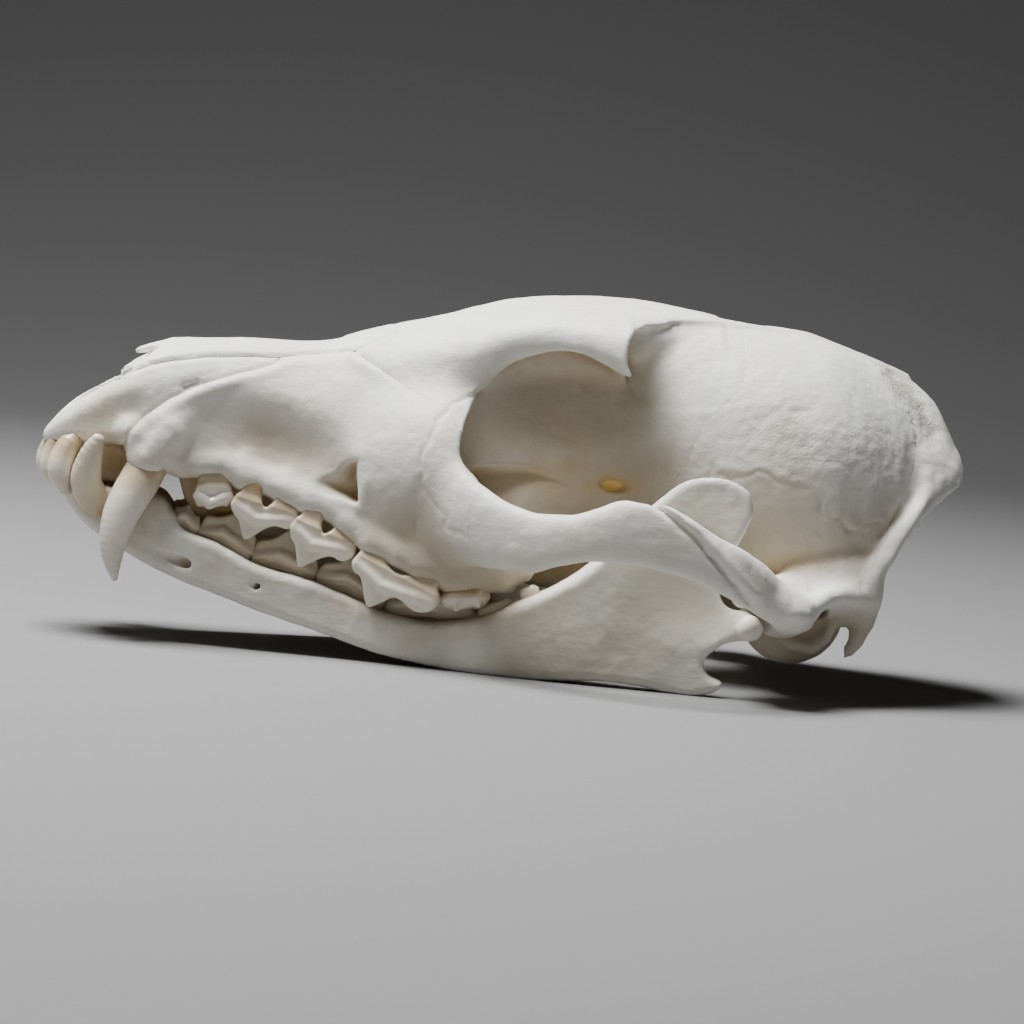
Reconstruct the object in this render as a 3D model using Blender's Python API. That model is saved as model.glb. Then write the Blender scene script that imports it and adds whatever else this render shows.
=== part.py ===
"""Red fox skull with its lower jaw, life size, lying on the lower borders of the jaw.

The fox faces -X and its left side is -Y. Sizes in this file are millimetres; meshes are metres.
Each bone is modelled as a field of distances on a grid, skinned by OpenVDB, thinned, and then
parted along the sutures with thin cuts. The teeth are set in their sockets and fused in.
"""
import math

import bpy
import bmesh
import numpy as np
import openvdb
from mathutils import Matrix, Vector

# Driving sizes
MM = 0.001
SKULL_CELL = 0.85
JAW_CELL = 0.6
TOOTH_CELL = 0.34
SKULL_TRIANGLES = 5000
JAW_TRIANGLES = 900
TRIANGLES_PER_MM = 2.6
SMALL_TOOTH_TRIANGLES = 26
LEVEL_ANGLE = 4.5
GAP = 0.3
PITCH = 5.1
FLOOR_DROP = 2.5
MIDDLE_SHIFT = 3.9
OUTSIDE = 12.0
ARCH_HALF_BREADTH = 37.7
BRAIN_HALF_BREADTH = 23.6
MUZZLE_HALF_BREADTH = 10.4
BACK_OF_SKULL = 75.0

BONE_COLOUR = (0.80, 0.76, 0.66)
BONE_ROUGHNESS = 0.55


# Curves and grids

def curve(*stations):
    """A smooth curve without overshoot through (place, value) stations."""
    place, value = np.array(stations, float).T
    step = np.diff(place)
    rise = np.diff(value) / step
    slope = np.zeros(len(place))
    slope[0], slope[-1] = rise[0], rise[-1]
    for i in range(1, len(place) - 1):
        if rise[i - 1] * rise[i] > 0:
            near, far = 2 * step[i] + step[i - 1], step[i] + 2 * step[i - 1]
            slope[i] = (near + far) / (near / rise[i - 1] + far / rise[i])

    def at(x):
        x = np.clip(x, place[0], place[-1])
        i = np.clip(np.searchsorted(place, x, side="right") - 1, 0, len(step) - 1)
        t = (x - place[i]) / step[i]
        start = value[i] * (1 + 2 * t) * (1 - t) ** 2 + slope[i] * step[i] * t * (1 - t) ** 2
        end = value[i + 1] * (3 - 2 * t) * t ** 2 - slope[i + 1] * step[i] * (1 - t) * t ** 2
        return start + end

    return at


def rounded(corners, steps=6):
    """Points of a closed smooth line through the corners."""
    corners = np.array(corners, float)
    before, after, beyond = (np.roll(corners, shift, axis=0) for shift in (1, -1, -2))
    points = []
    for t in np.arange(steps) / steps:
        points.append(0.5 * (2 * corners + (after - before) * t
                             + (2 * before - 5 * corners + 4 * after - beyond) * t ** 2
                             + (3 * corners - before - 3 * after + beyond) * t ** 3))
    return np.stack(points, axis=1).reshape(-1, corners.shape[1])


def outline_distance(points, a, b):
    """Signed distance, negative inside, from grid places (a, b) to a closed line of points."""
    nearest = np.full(np.broadcast(a, b).shape, np.inf)
    inside = np.zeros(nearest.shape, bool)
    for (a0, b0), (a1, b1) in zip(points, np.roll(points, -1, axis=0)):
        da, db = a1 - a0, b1 - b0
        t = np.clip(((a - a0) * da + (b - b0) * db) / (da * da + db * db + 1e-12), 0, 1)
        nearest = np.minimum(nearest, (a - a0 - t * da) ** 2 + (b - b0 - t * db) ** 2)
        if abs(db) > 1e-9:
            crosses = ((b0 <= b) != (b1 <= b)) & (a < a0 + (b - b0) / db * da)
            inside = inside ^ crosses
    return np.where(inside, -np.sqrt(nearest), np.sqrt(nearest))


def blend_in(one, two, blend):
    """Join two fields, with a fillet about as wide as the blend."""
    if blend == 0:
        return np.minimum(one, two)
    overlap = np.maximum(blend - np.abs(one - two), 0) / blend
    return np.minimum(one, two) - overlap ** 2 * blend / 4


class Clay:
    """A block of distance samples that shapes are added to and cut from."""

    def __init__(self, low, high, cell):
        self.low, self.cell = np.array(low, float), cell
        self.axes = [np.arange(math.ceil((b - a) / cell) + 1) * cell + a for a, b in zip(low, high)]
        self.field = np.full([len(axis) for axis in self.axes], OUTSIDE, np.float32)

    def window(self, low, high):
        spans = tuple(slice(*np.searchsorted(axis, ends))
                      for axis, ends in zip(self.axes, zip(low, high)))
        parts = [axis[span].astype(np.float32) for axis, span in zip(self.axes, spans)]
        return spans, parts[0][:, None, None], parts[1][None, :, None], parts[2][None, None, :]

    def whole(self):
        return [axis[0] for axis in self.axes], [axis[-1] + 1 for axis in self.axes]

    def add(self, shape, blend=0.0, low=None, high=None):
        spans, x, y, z = self.window(*((low, high) if low else self.whole()))
        self.field[spans] = blend_in(self.field[spans], shape(x, y, z), blend)

    def cut(self, shape, blend=0.0, low=None, high=None):
        spans, x, y, z = self.window(*((low, high) if low else self.whole()))
        self.field[spans] = -blend_in(-self.field[spans], shape(x, y, z), blend)

    def skin(self):
        """Points in millimetres and quads of the surface."""
        grid = openvdb.FloatGrid(OUTSIDE)
        grid.copyFromArray(np.clip(self.field, -OUTSIDE, OUTSIDE))
        points, quads = grid.convertToQuads(isovalue=0.0)
        return points * self.cell + self.low, quads

    def mirrored(self):
        """Join the field to its mirror image across y = 0, where its grid must start."""
        full = Clay.__new__(Clay)
        full.cell, full.low = self.cell, self.low * (1, 0, 1) - (0, self.axes[1][-1], 0)
        full.axes = [self.axes[0], np.concatenate([-self.axes[1][:0:-1], self.axes[1]]), self.axes[2]]
        full.field = np.concatenate([self.field[:, :0:-1], self.field], axis=1)
        return full


# Shapes

def loft(top, middle, bottom, half, upper=2.0, lower=2.0, centre=0.0):
    """A body along X with a rounded section, widest at the height of its middle."""
    def distance(x, y, z):
        mid, side = middle(x), half(x)
        above = z > mid
        tall = np.maximum(np.where(above, top(x) - mid, mid - bottom(x)), 0.5)
        power = np.where(above, upper(x) if callable(upper) else upper,
                         lower(x) if callable(lower) else lower)
        out = np.abs(y - (centre(x) if callable(centre) else centre)) / side + 1e-4
        up = np.abs(z - mid) / tall + 1e-4
        reach = (out ** power + up ** power) ** (1 / power)
        steep = np.hypot((out / reach) ** (power - 1) / side, (up / reach) ** (power - 1) / tall)
        return ((reach - 1) / steep).astype(np.float32)
    return distance


def ball(centre, radii, turn=0.0, tip=0.0):
    """An ellipsoid, turned about Z and then tipped about Y, in degrees."""
    c, s = math.cos(math.radians(turn)), math.sin(math.radians(turn))
    ct, st = math.cos(math.radians(tip)), math.sin(math.radians(tip))

    def distance(x, y, z):
        dx, dy, dz = x - centre[0], y - centre[1], z - centre[2]
        u, v = c * dx + s * dy, c * dy - s * dx
        u, w = ct * u + st * dz, ct * dz - st * u
        a, b, d = radii
        reach = np.sqrt((u / a) ** 2 + (v / b) ** 2 + (w / d) ** 2) + 1e-6
        steep = np.sqrt((u / a ** 2) ** 2 + (v / b ** 2) ** 2 + (w / d ** 2) ** 2) + 1e-6
        return reach * (reach - 1) / steep
    return distance


def rod(points, radii, squash=(1.0, 1.0, 1.0)):
    """A chain of tapering round bars through the points; squash above 1 thins it on that axis."""
    points = [np.array(p, float) for p in points]
    squash = np.array(squash)

    def distance(x, y, z):
        best = None
        for (a, b), (ra, rb) in zip(zip(points, points[1:]), zip(radii, radii[1:])):
            ax = b - a
            dx, dy, dz = x - a[0], y - a[1], z - a[2]
            t = np.clip((dx * ax[0] + dy * ax[1] + dz * ax[2]) / ax.dot(ax), 0, 1)
            gap = np.sqrt(((dx - t * ax[0]) * squash[0]) ** 2 + ((dy - t * ax[1]) * squash[1]) ** 2
                          + ((dz - t * ax[2]) * squash[2]) ** 2) - (ra + t * (rb - ra))
            best = gap if best is None else np.minimum(best, gap)
        return best
    return distance


def plate(outline, middle, thick, edge=1.0):
    """An upright plate: an outline in XZ, a middle surface and a half thickness, edges rounded."""
    def distance(x, y, z):
        flat = outline_distance(outline, x[:, 0], z[:, 0])[:, None, :].astype(np.float32)
        deep = np.abs(y - middle(x, z)) - thick(x, z)
        inner = np.minimum(np.maximum(flat, deep) + edge, 0)
        return inner + np.hypot(np.maximum(flat + edge, 0), np.maximum(deep + edge, 0)) - edge
    return distance


# The skull, as seen from the side: top line, alveolar line, widest line and half breadth

TOP = curve((-74.6, 39.8), (-73.4, 41), (-70.7, 43.9), (-68, 46.1), (-61, 50.7), (-57, 53.6),
            (-52.5, 55), (-43, 55), (-31, 54.3), (-21, 56.2), (-10, 58.5), (0, 60.7), (7, 61.4),
            (19.5, 60.8), (28, 59.4), (36, 57.5), (50, 54.8), (59, 51.3), (66, 48), (70.2, 44.3),
            (73.4, 37.4), (BACK_OF_SKULL, 33.7), (76, 32.5))
BOTTOM = curve((-74.6, 39.4), (-73, 38.4), (-69, 38.4), (-62, 38.0), (-58, 36), (-54, 34), (-48, 32.4), (-40, 29.9),
               (-34, 27.4), (-29, 24.7), (-25, 22.2), (-19, 18.2), (-14, 16.4), (-7, 16.2), (0, 17.2),
               (6, 19), (16, 18.5), (26, 15.5), (36, 12.5), (46, 11), (56, 12.4), (62, 20), (68, 27),
               (72, 30), (75, 31.6))
WIDEST = curve((-74.6, 39.6), (-72, 40.4), (-66, 41.5), (-58, 41.5), (-46, 38), (-34, 33.5), (-24, 27), (-12, 25),
               (0, 28), (10, 34), (20, 37), (32, 34), (48, 31), (60, 28.5), (70, 30.6), (76, 31.8))
BREADTH = curve((-74.6, 0.6), (-73.8, 3.6), (-72.6, 5.4), (-70, 7.2), (-66, 8.3), (-63, 9.6),
                (-60, 11.4), (-54, 11.2),
                (-46, MUZZLE_HALF_BREADTH), (-40, 10.6), (-32, 12.7), (-25, 15.6), (-18, 18.2),
                (-11, 18.6), (-6, 16), (-1, 12.6), (4, 10.4), (12, 9.6), (18, 10.2), (24, 13),
                (30, 17.4), (36, 21), (42, 23), (48, BRAIN_HALF_BREADTH), (54, 22.4), (60, 19),
                (64, 16), (68, 13.4), (72, 10.4), (75, 7.0), (76, 6))
FLOOR_POWER = curve((-74, 3), (-60, 3.4), (-48, 6), (-6, 6), (6, 3.4), (20, 2.6), (76, 2.6))
ROOF_POWER = curve((-74, 3.6), (-62, 3.4), (-54, 2.5), (-30, 2.1), (20, 2.1), (50, 2.0), (60, 1.75),
                   (68, 1.35), (76, 1.3))

BROW_DROP = 1.5
BROW_HALF = curve((-26, 7), (-16, 11.4), (-8, 13), (0, 12.7), (6, 13.5), (11, 15.2), (15, 17.2),
                  (17.6, 17.8), (19.5, 15.4), (23, 12.4), (28, 11.5), (34, 10))
BROW_WIDEST = curve((-26, 49), (-8, 51), (2, 54.5), (11, 54), (17, 52), (21, 53.5), (34, 52))
BROW_BOTTOM = curve((-26, 40), (-8, 40), (2, 48), (10, 49.5), (17.6, 48.5), (22, 47), (34, 42))

ARCH_TOP = curve((-16, 40), (-10, 36), (-6, 32.6), (-2, 30.2), (2, 29.1), (6, 29.1), (10, 30.1),
                 (14, 31.3), (17, 31.4), (20, 30.4), (28, 26.2), (36, 21.4), (40, 18), (44, 17.5))
ARCH_BOTTOM = curve((-16, 21), (-10, 20.4), (-4, 20.2), (0, 19.8), (5, 21.2), (10, 21.9), (15, 21.6),
                    (20, 20.6), (24, 19.3), (28, 17.4), (32, 15.2), (36, 12.8), (40, 11.2), (44, 11))
ARCH_CENTRE = curve((-16, 13), (-12, 18), (-8, 22.6), (-4, 26.6), (0, 29.8), (5, 32.8), (10, 35),
                    (15, 36.5), (20, 37.4), (25, ARCH_HALF_BREADTH), (30, 37.3), (35, 35.4),
                    (38, 32.8), (41, 28.6), (44, 23))
ARCH_HALF = curve((-16, 6), (-10, 5), (-4, 3.3), (2, 2.5), (8, 2.1), (16, 1.8), (25, 1.7), (31, 2),
                  (36, 3), (40, 5), (44, 7))

RIM = rounded([
    (-0.9, 50.7), (-5.2, 47), (-8, 43.1), (-9.3, 39.6), (-9.3, 36), (-7.7, 33.5), (-5, 31), (0, 28.6),
    (8, 26), (17, 26), (24, 32), (26, 40), (24, 47), (20.4, 50.4), (18.2, 48.6), (15.4, 50.2),
    (11.8, 52.2), (8.2, 53.1), (3.9, 52.6)], steps=3)

# The lower jaw: outline from the side, and how it swings out and thins towards the back

JAW_OUTLINE = rounded([
    (-70.6, 31.6), (-69.6, 28.6), (-65, 24.2), (-56, 18.7), (-48, 15.3), (-40, 12.3), (-24, 6.6),
    (-16, 4.4), (-8.4, 2.9), (-1, 2.2), (5, 2.2), (12, 2.3), (18, 1.4), (22.5, 0.3), (26.5, -0.1), (30, 0.8),
    (30.8, 2.3), (28.6, 3.6), (28.2, 5.8), (31, 8), (34.4, 9), (36, 10.8), (34.6, 13), (31.4, 14.4),
    (30.6, 18.5), (32.6, 23), (35.2, 28.4), (34.4, 32.3), (30.5, 34.3), (25, 33.6), (20.5, 30.1),
    (15, 24.6), (10, 19.9), (5, 16.8), (0, 14.4), (-5, 12.2), (-12, 11), (-20, 12), (-27, 15.2),
    (-32, 17.2), (-40, 19.4), (-47, 23.1), (-54, 26.2), (-61, 30.2), (-66, 32.2), (-69.4, 32.6)])
JAW_SWING = curve((-72, 3.0), (-66, 4.3), (-60, 4.5), (-54, 5.7), (-45, 8.6), (-35, 10.5), (-25, 12.4),
                  (-15, 14.8), (-5, 17.6), (5, 20.6), (15, 23.4), (25, 25.4), (36, 28))
JAW_THICK = curve((-72, 2.8), (-66, 4.1), (-60, 4.2), (-54, 4.2), (-46, 3.2), (-35, 2.9), (-15, 3.1),
                  (0, 3.1), (8, 2.7), (16, 2.0), (26, 1.7), (36, 1.6))

# Sutures, as lines in XZ; each bone is what lies between them

FAR, HIGH, LOW = 100.0, 80.0, -12.0
NASAL_SUTURE = [(-61.6, HIGH), (-61.6, 48.8), (-57, 50.3), (-46, 51.1), (-34, 51.3), (-25, 53)]
PREMAXILLA_SUTURE = [(-62, LOW), (-61.4, 38), (-60.2, 41.2), (-55.3, 45.4), (-47.3, 49), (-43, 51.15)]
FACE_SUTURE = [(-25, 53), (-17, 47.5), (-11, 44.5), (-8, 37), (-3, 29), (3.5, 22)]
CORONAL_SUTURE = [(22, 20), (20.5, 28), (22, 38), (27, 47), (32, 58), (34, HIGH)]
LAMBDOID_SUTURE = [(57, HIGH), (57.5, 52), (60, 41), (60, 31), (55, 21), (53.6, 12), (53.6, LOW)]
BROW_CORNER = [(-18, 56), (-18, HIGH)]
WING_CREST = (12, 23)
CHEEK_PLAN = [(-15, 33), (-4.6, 22.2), (4, 22), (30, 24.5), (33.5, 27), (37.5, 46), (-15, 46)]
BULLA_CENTRE, BULLA_RADII, BULLA_ROOT = (44.4, 14.4), (9.8, 8.3), 14.4


def bone_outlines():
    """The outline from the side of each bone that sutures bound."""
    root = [(FACE_SUTURE[-1][0], LOW)]
    return {
        "premaxilla": [(-FAR, LOW)] + PREMAXILLA_SUTURE + NASAL_SUTURE[3::-1] + [(-FAR, HIGH)],
        "maxilla": PREMAXILLA_SUTURE + NASAL_SUTURE[4:] + FACE_SUTURE[1:] + root,
        "nasal_bones": NASAL_SUTURE + BROW_CORNER,
        "frontal_bone": BROW_CORNER[::-1] + FACE_SUTURE + [WING_CREST] + CORONAL_SUTURE,
        "palate_wings": [FACE_SUTURE[-1]] + root + [(CORONAL_SUTURE[0][0], LOW), CORONAL_SUTURE[0],
                                                    WING_CREST],
        "braincase": CORONAL_SUTURE[::-1] + [(CORONAL_SUTURE[0][0], LOW)] + LAMBDOID_SUTURE[::-1],
        "occipital_bone": LAMBDOID_SUTURE + [(FAR, LOW), (FAR, HIGH)],
    }


def skull_clay(cell):
    """The whole upper skull as one solid, left and right alike."""
    clay = Clay((-77, 0, 1), (77, 42, 64), cell)
    clay.add(loft(TOP, WIDEST, BOTTOM, BREADTH, upper=ROOF_POWER, lower=FLOOR_POWER))
    clay.add(loft(lambda x: TOP(x) - BROW_DROP, BROW_WIDEST, BROW_BOTTOM, BROW_HALF, upper=2.4), 3,
             (-26, 0, 38), (34, 22, 64))
    shape_cheek(clay)
    shape_orbit(clay)
    shape_arch(clay)
    shape_base(clay)
    shape_occiput(clay)
    clay.add(rod([(53.6, 18.4, 15), (53.2, 19.4, 9), (51.6, 19.6, 5.8)], (3.0, 2.0, 0.9),
                 squash=(1, 1.3, 1)), 1.2, (46, 12, 2), (62, 26, 22))
    shape_nose(clay)
    return clay.mirrored()


def shape_cheek(clay):
    """The bulge over the molars and the cheek in front of the eye socket."""
    clay.add(ball((-8, 14, 21), (11, 6.6, 6.5), turn=12), 3, (-24, 0, 10), (8, 26, 34))
    clay.add(ball((-14, 12.4, 35), (12, 8.6, 11), turn=32), 5, (-34, 0, 20), (4, 28, 52))


def shape_arch(clay):
    """The zygomatic arch, the socket of the jaw joint and the infraorbital canal."""
    arch = loft(ARCH_TOP, lambda x: (ARCH_TOP(x) + ARCH_BOTTOM(x)) / 2, ARCH_BOTTOM, ARCH_HALF,
                upper=2.4, lower=2.4, centre=ARCH_CENTRE)
    clay.add(arch, 2.4, (-16, 6, 8), (44, 42, 42))
    clay.add(ball((39.6, 27, 15.5), (5.9, 10, 3.5), turn=-8), 2.4, (28, 12, 6), (50, 40, 24))
    clay.add(ball((41, 27, 11), (2.2, 6.5, 3.2), turn=-12), 1.5, (34, 16, 4), (48, 38, 18))
    clay.cut(rod([(34.4, 20, 10.8), (34.4, 33.6, 10.6)], (3.5, 3.3)), 0.6, (28, 16, 2), (42, 41, 18))
    clay.cut(rod([(-38, 15.5, 33.8), (-24, 14.4, 31.6), (-12, 13, 28.5)], (2.2, 2.9, 1.6),
                 squash=(1, 1.3, 1)), 0.7, (-42, 8, 22), (-8, 24, 40))


def shape_orbit(clay):
    """The eye socket: a hollow whose edge is the rim from brow to cheek, and the temporal hollow."""
    clay.cut(ball((7.6, 27, 41), (15.4, 17.4, 12.2), tip=6), 1.2, (-12, 6, 26), (26, 44, 56))
    clay.add(rod([(13.5, 12, 53.5), (17.6, 17.2, 50.2)], (2.4, 1.1)), 2, (8, 6, 44), (24, 22, 60))

    def socket(x, y, z):
        flat = outline_distance(RIM, x[:, 0], z[:, 0])[:, None, :].astype(np.float32)
        wall = 9.4 + 0.1 * np.clip(4 - x, 0, 20) ** 1.5 + 0.55 * np.clip(x - 16, 0, 9)
        wall = wall + 0.012 * np.clip(44 - z, 0, 20) ** 2
        return np.maximum(flat, (wall - y) * 0.8)
    clay.cut(socket, 0.5, (-12, 6, 22), (28, 42, 58))


def shape_base(clay):
    """Palate vault, wings behind the palate, ear bulla, processes and condyle."""
    wings = loft(lambda x: 0 * x + 32, lambda x: 0 * x + 22,
                 curve((-2, 16.6), (6, 14.6), (13, 12.6), (18.5, 10.4), (22, 12.5)),
                 curve((-2, 9.5), (4, 8), (10, 7.4), (18, 7), (22, 6.6)), lower=5.0)
    clay.add(wings, 1.5, (-2, 0, 8), (22, 14, 34))
    roof = curve((2, 18), (5, 22.5), (12, 21.5), (20, 18.5), (30, 14.6), (38, 12))
    clay.cut(loft(roof, lambda x: roof(x) - 9, lambda x: roof(x) - 30,
                  curve((2, 4.2), (10, 4.8), (22, 4.8), (38, 3)), upper=4.0),
             0.6, (2, 0, 1), (38, 8, 26))
    vault = curve((-70, 40.4), (-60, 39.4), (-46, 35.2), (-34, 30.7), (-24, 26), (-14, 20.5), (2, 19.6))
    clay.cut(loft(vault, lambda x: BOTTOM(x) - 2, lambda x: BOTTOM(x) - 9,
                  curve((-70, 3), (-62, 6), (-50, 5.6), (-38, 6.4), (-26, 9), (-14, 12.2), (2, 11))),
             0.8, (-70, 0, 8), (2, 14, 44))
    gums = [(-60, 9.3, 40.8), (-52, 8.9, 35.2), (-44, 9.0, 32.3), (-34.5, 10.2, 28.2), (-25, 13.6, 23.4),
            (-18, 17.2, 19.8), (-12, 18.2, 17.8), (-4, 17, 18.4), (0.5, 15, 19.4)]
    clay.add(rod(gums, (2.5, 2.4, 2.2, 2.4, 2.6, 2.5, 2.8, 2.8, 2.2)), 1.5, (-66, 4, 10), (6, 24, 46))
    clay.add(ball((44.4, 14.4, 11.2), (8.6, 7.2, 7.7), turn=-14), 1.2, (32, 2, 1), (56, 26, 22))
    clay.add(rod([(46, 20, 13.6), (46.5, 23, 13.8)], (3.4, 3.0)), 1, (38, 14, 6), (54, 30, 22))
    clay.cut(rod([(46.6, 19, 13.6), (46.8, 30, 13.8)], (1.8, 2.2)), 0.3, (40, 18, 8), (54, 32, 20))
    clay.add(ball((52.5, 20.5, 15), (4.6, 3.6, 5.4)), 2, (44, 14, 5), (62, 28, 26))
    clay.add(ball((55.6, 8.8, 13.4), (3.0, 4.4, 4.4), turn=-25), 1.5, (50, 2, 6), (64, 18, 22))


def shape_occiput(clay):
    """The flaring crest round the back of the skull, hollowed from behind, and the foramen."""
    rim = curve((0, 55), (12, 56.4), (20, 58), (25, 62.6), (28, 67.2), (30, 70.2), (31.5, 72.4),
                (34, 73.5), (37, 72.9), (40, 71.8), (44, 69.8), (47, 67.4), (50, 76), (64, 90))
    floor = curve((0, 56), (12, 56.6), (18, 58), (22, 60.6), (26, 63), (30, 65.6), (34, 67.8),
                  (38, 68.2), (42, 66.6), (46, 64.4), (50, 76), (64, 90))
    crest = [(73, 0, 35.4), (71.8, 4.6, 35), (70.4, 8.4, 33.2), (67, 12.8, 30.2), (62.4, 17.6, 27),
             (58.6, 20.6, 23.4), (56, 22.2, 19.4), (53.6, 22.6, 15)]
    clay.add(rod(crest, [1.5, 1.5, 1.5, 1.5, 1.5, 1.5, 1.7, 2.0]), 1.2, (50, 0, 10), (78, 28, 52))
    clay.cut(lambda x, y, z: (rim(z) - x) * 0.8 + 0 * y, 0.5, (52, 0, 1), (78, 42, 50))
    spans, x, y, z = clay.window((56, 0, 12), (78, 26, 50))
    within = clay.field[spans] + 1.9
    bulge = 1.6 * np.exp(-(y / 4.5) ** 2) * np.clip((40 - z) / 8, 0, 1)
    hollow = np.maximum(within, (floor(z) + bulge - x) * 0.8)
    clay.field[spans] = -blend_in(-clay.field[spans], hollow, 0.6)
    clay.cut(rod([(42, 0, 17.2), (64, 0, 16.8)], (4.2, 5.2), squash=(1, 0.82, 1)), 0.8,
             (42, 0, 8), (66, 10, 26))


def shape_nose(clay):
    """The nasal opening, under the overhanging tips of the nasal bones."""
    roof = curve((-76, 60), (-60.6, 60), (-59.4, 51.4), (-54, 52.8), (-44, 52))
    floor = curve((-76, 41.6), (-70, 41.6), (-60, 42.2), (-44, 44))
    inside = curve((-76, 2.4), (-73, 3.0), (-69, 4.6), (-63, 6.8), (-56, 7.8), (-48, 6.2), (-44, 3))
    clay.cut(loft(roof, lambda x: floor(x) + 4, floor, inside, upper=4.5), 0.5,
             (-76, 0, 38), (-44, 12, 62))
    clay.cut(lambda x, y, z: x + 74 + 0 * (y + z), 0.8, (-77, 0, 30), (-70, 12, 50))
    clay.cut(ball((-60.6, 0, 53), (3.4, 2.4, 4)), 0.5, (-66, 0, 46), (-54, 6, 60))
    clay.add(rod([(-50, 7.4, 44.6), (-55.4, 8.7, 39.6), (-58, 9.4, 36.4)], (2.0, 3.1, 3.0),
                 squash=(1, 1.05, 1)), 2, (-64, 2, 32), (-44, 14, 50))


def jaw_clay(cell):
    """The left half of the lower jaw, drawn on the +Y side and mirrored afterwards."""
    clay = Clay((-73, 0, -2), (40, 38, 37), cell)
    clay.add(plate(JAW_OUTLINE, lambda x, z: JAW_SWING(x) + 0.05 * np.maximum(z - 14, 0),
                   lambda x, z: JAW_THICK(x) - 0.6 * np.clip((z - 24) / 10, 0, 1), edge=1.4))
    clay.add(rod([(34.1, 24, 11), (34.2, 32.2, 10.8)], (2.0, 2.3)), 1.2, (26, 18, 4), (40, 38, 18))
    clay.cut(ball((23, 30, 17), (11, 4.6, 10.5), tip=24), 1.2, (8, 20, 2), (40, 38, 32))
    clay.cut(lambda x, y, z: y - GAP / 2 + 0 * (x + z), 0, (-73, 0, -2), (-46, 3, 37))
    return clay


# Teeth: bone, name, front and rear of the crown at the gum, width, and cusps as (share of the
# length from the front, height, shift towards the cheek)

UPPER_TEETH = [
    ("maxilla", "P1", (-49.7, 9.3, 31.6), (-44.7, 9.3, 29.6), 2.6, [(0.42, 2.9, 0)]),
    ("maxilla", "P2", (-43.4, 9.5, 30.0), (-34.0, 10.4, 26.2), 3.1, [(0.48, 5.6, 0), (0.86, 2.5, 0)]),
    ("maxilla", "P3", (-34.1, 10.9, 26.4), (-25.2, 13.2, 20.9), 3.3, [(0.5, 5.4, 0), (0.87, 2.7, 0)]),
    ("maxilla", "P4", (-24.8, 15.0, 20.4), (-12.6, 19.2, 14.0), 3.6,
     [(0.36, 6.2, 0), (0.78, 4.0, 0), (0.06, 2.4, 0), (0.1, 2.4, -3.2)]),
    ("maxilla", "M1", (-12.2, 17.0, 15.3), (-4.4, 16.0, 15.4), 7.0,
     [(0.28, 3.1, 3.0), (0.78, 2.6, 2.6), (0.4, 1.2, -3.4)]),
    ("maxilla", "M2", (-3.9, 15.3, 15.9), (0.2, 14.6, 16.9), 4.6, [(0.3, 1.6, 2.2), (0.5, 0.8, -2.0)]),
]
LOWER_TEETH = [
    ("p1", (-53.6, 7.6, 25.4), (-50.2, 7.8, 24.2), 2.3, [(0.42, 3.6, 0)]),
    ("p2", (-49.5, 7.9, 23.7), (-41.8, 8.4, 20.1), 2.7, [(0.3, 5.2, 0), (0.84, 2.2, 0)]),
    ("p3", (-41.5, 8.6, 20.0), (-31.7, 9.8, 17.0), 2.9, [(0.37, 6.3, 0), (0.84, 2.8, 0)]),
    ("p4", (-31.2, 10.0, 16.8), (-20.8, 11.8, 12.4), 3.2, [(0.36, 6.0, 0), (0.68, 3.6, 0)]),
    ("m1", (-20.3, 11.4, 11.8), (-6.4, 14.2, 11.2), 3.9,
     [(0.14, 3.7, 0), (0.4, 3.6, 0), (0.82, 1.5, 0.9), (0.82, 1.5, -1.2)]),
    ("m2", (-5.8, 15.2, 11.2), (-0.4, 17.0, 13.0), 3.6, [(0.35, 1.2, 0.8), (0.7, 0.9, 0)]),
    ("m3", (0.6, 17.8, 14.4), (3.2, 18.8, 15.7), 2.6, [(0.5, 0.9, 0)]),
]
UPPER_CANINE = [(-53, 7.6, 42.4), (-57.3, 9.2, 36.4), (-59.6, 10.5, 32.2), (-61.5, 11.5, 28),
                (-62.5, 11.9, 24.6), (-62.6, 12.1, 21), (-62.3, 12.2, 18.7)]
LOWER_CANINE = [(-60, 5.8, 21.5), (-65.6, 7.4, 29.4), (-67.1, 8.4, 33.4), (-66.5, 9.6, 36.6),
                (-65.5, 10.3, 38.8), (-64.9, 10.6, 40)]
UPPER_INCISORS = [
    [(-68, 1.5, 43.5), (-73.0, 1.6, 38.8), (-73.9, 1.6, 35.6), (-73.3, 1.6, 33.6)],
    [(-67.4, 4.0, 43.5), (-72.0, 4.4, 38.6), (-73.0, 4.5, 35.0), (-72.3, 4.5, 32.8)],
    [(-66, 6.0, 43), (-70.2, 6.9, 38.4), (-71.6, 7.4, 34.4), (-70.7, 7.5, 31.4)]]
LOWER_INCISORS = [
    [(-64, 1.2, 26), (-69.4, 1.3, 31.4), (-71.2, 1.35, 34.4), (-71.5, 1.35, 35.8)],
    [(-63.6, 3.0, 26), (-68.6, 3.5, 31.4), (-70.3, 3.7, 34.4), (-70.6, 3.7, 35.8)],
    [(-63, 4.6, 26), (-67.3, 5.6, 31.6), (-68.9, 6.0, 34.2), (-69.1, 6.1, 35.4)]]


def tooth_clay(points, reach, cell):
    """A small block around the points of one tooth."""
    points = np.array(points)
    return Clay(points.min(axis=0) - reach, points.max(axis=0) + reach, cell)


def curved_tooth(path, radii, squash, cell):
    """A canine or an incisor: one curved, tapering horn."""
    clay = tooth_clay(path, max(radii) + 2 * cell, cell)
    clay.add(rod(path, radii, squash))
    return clay


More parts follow.
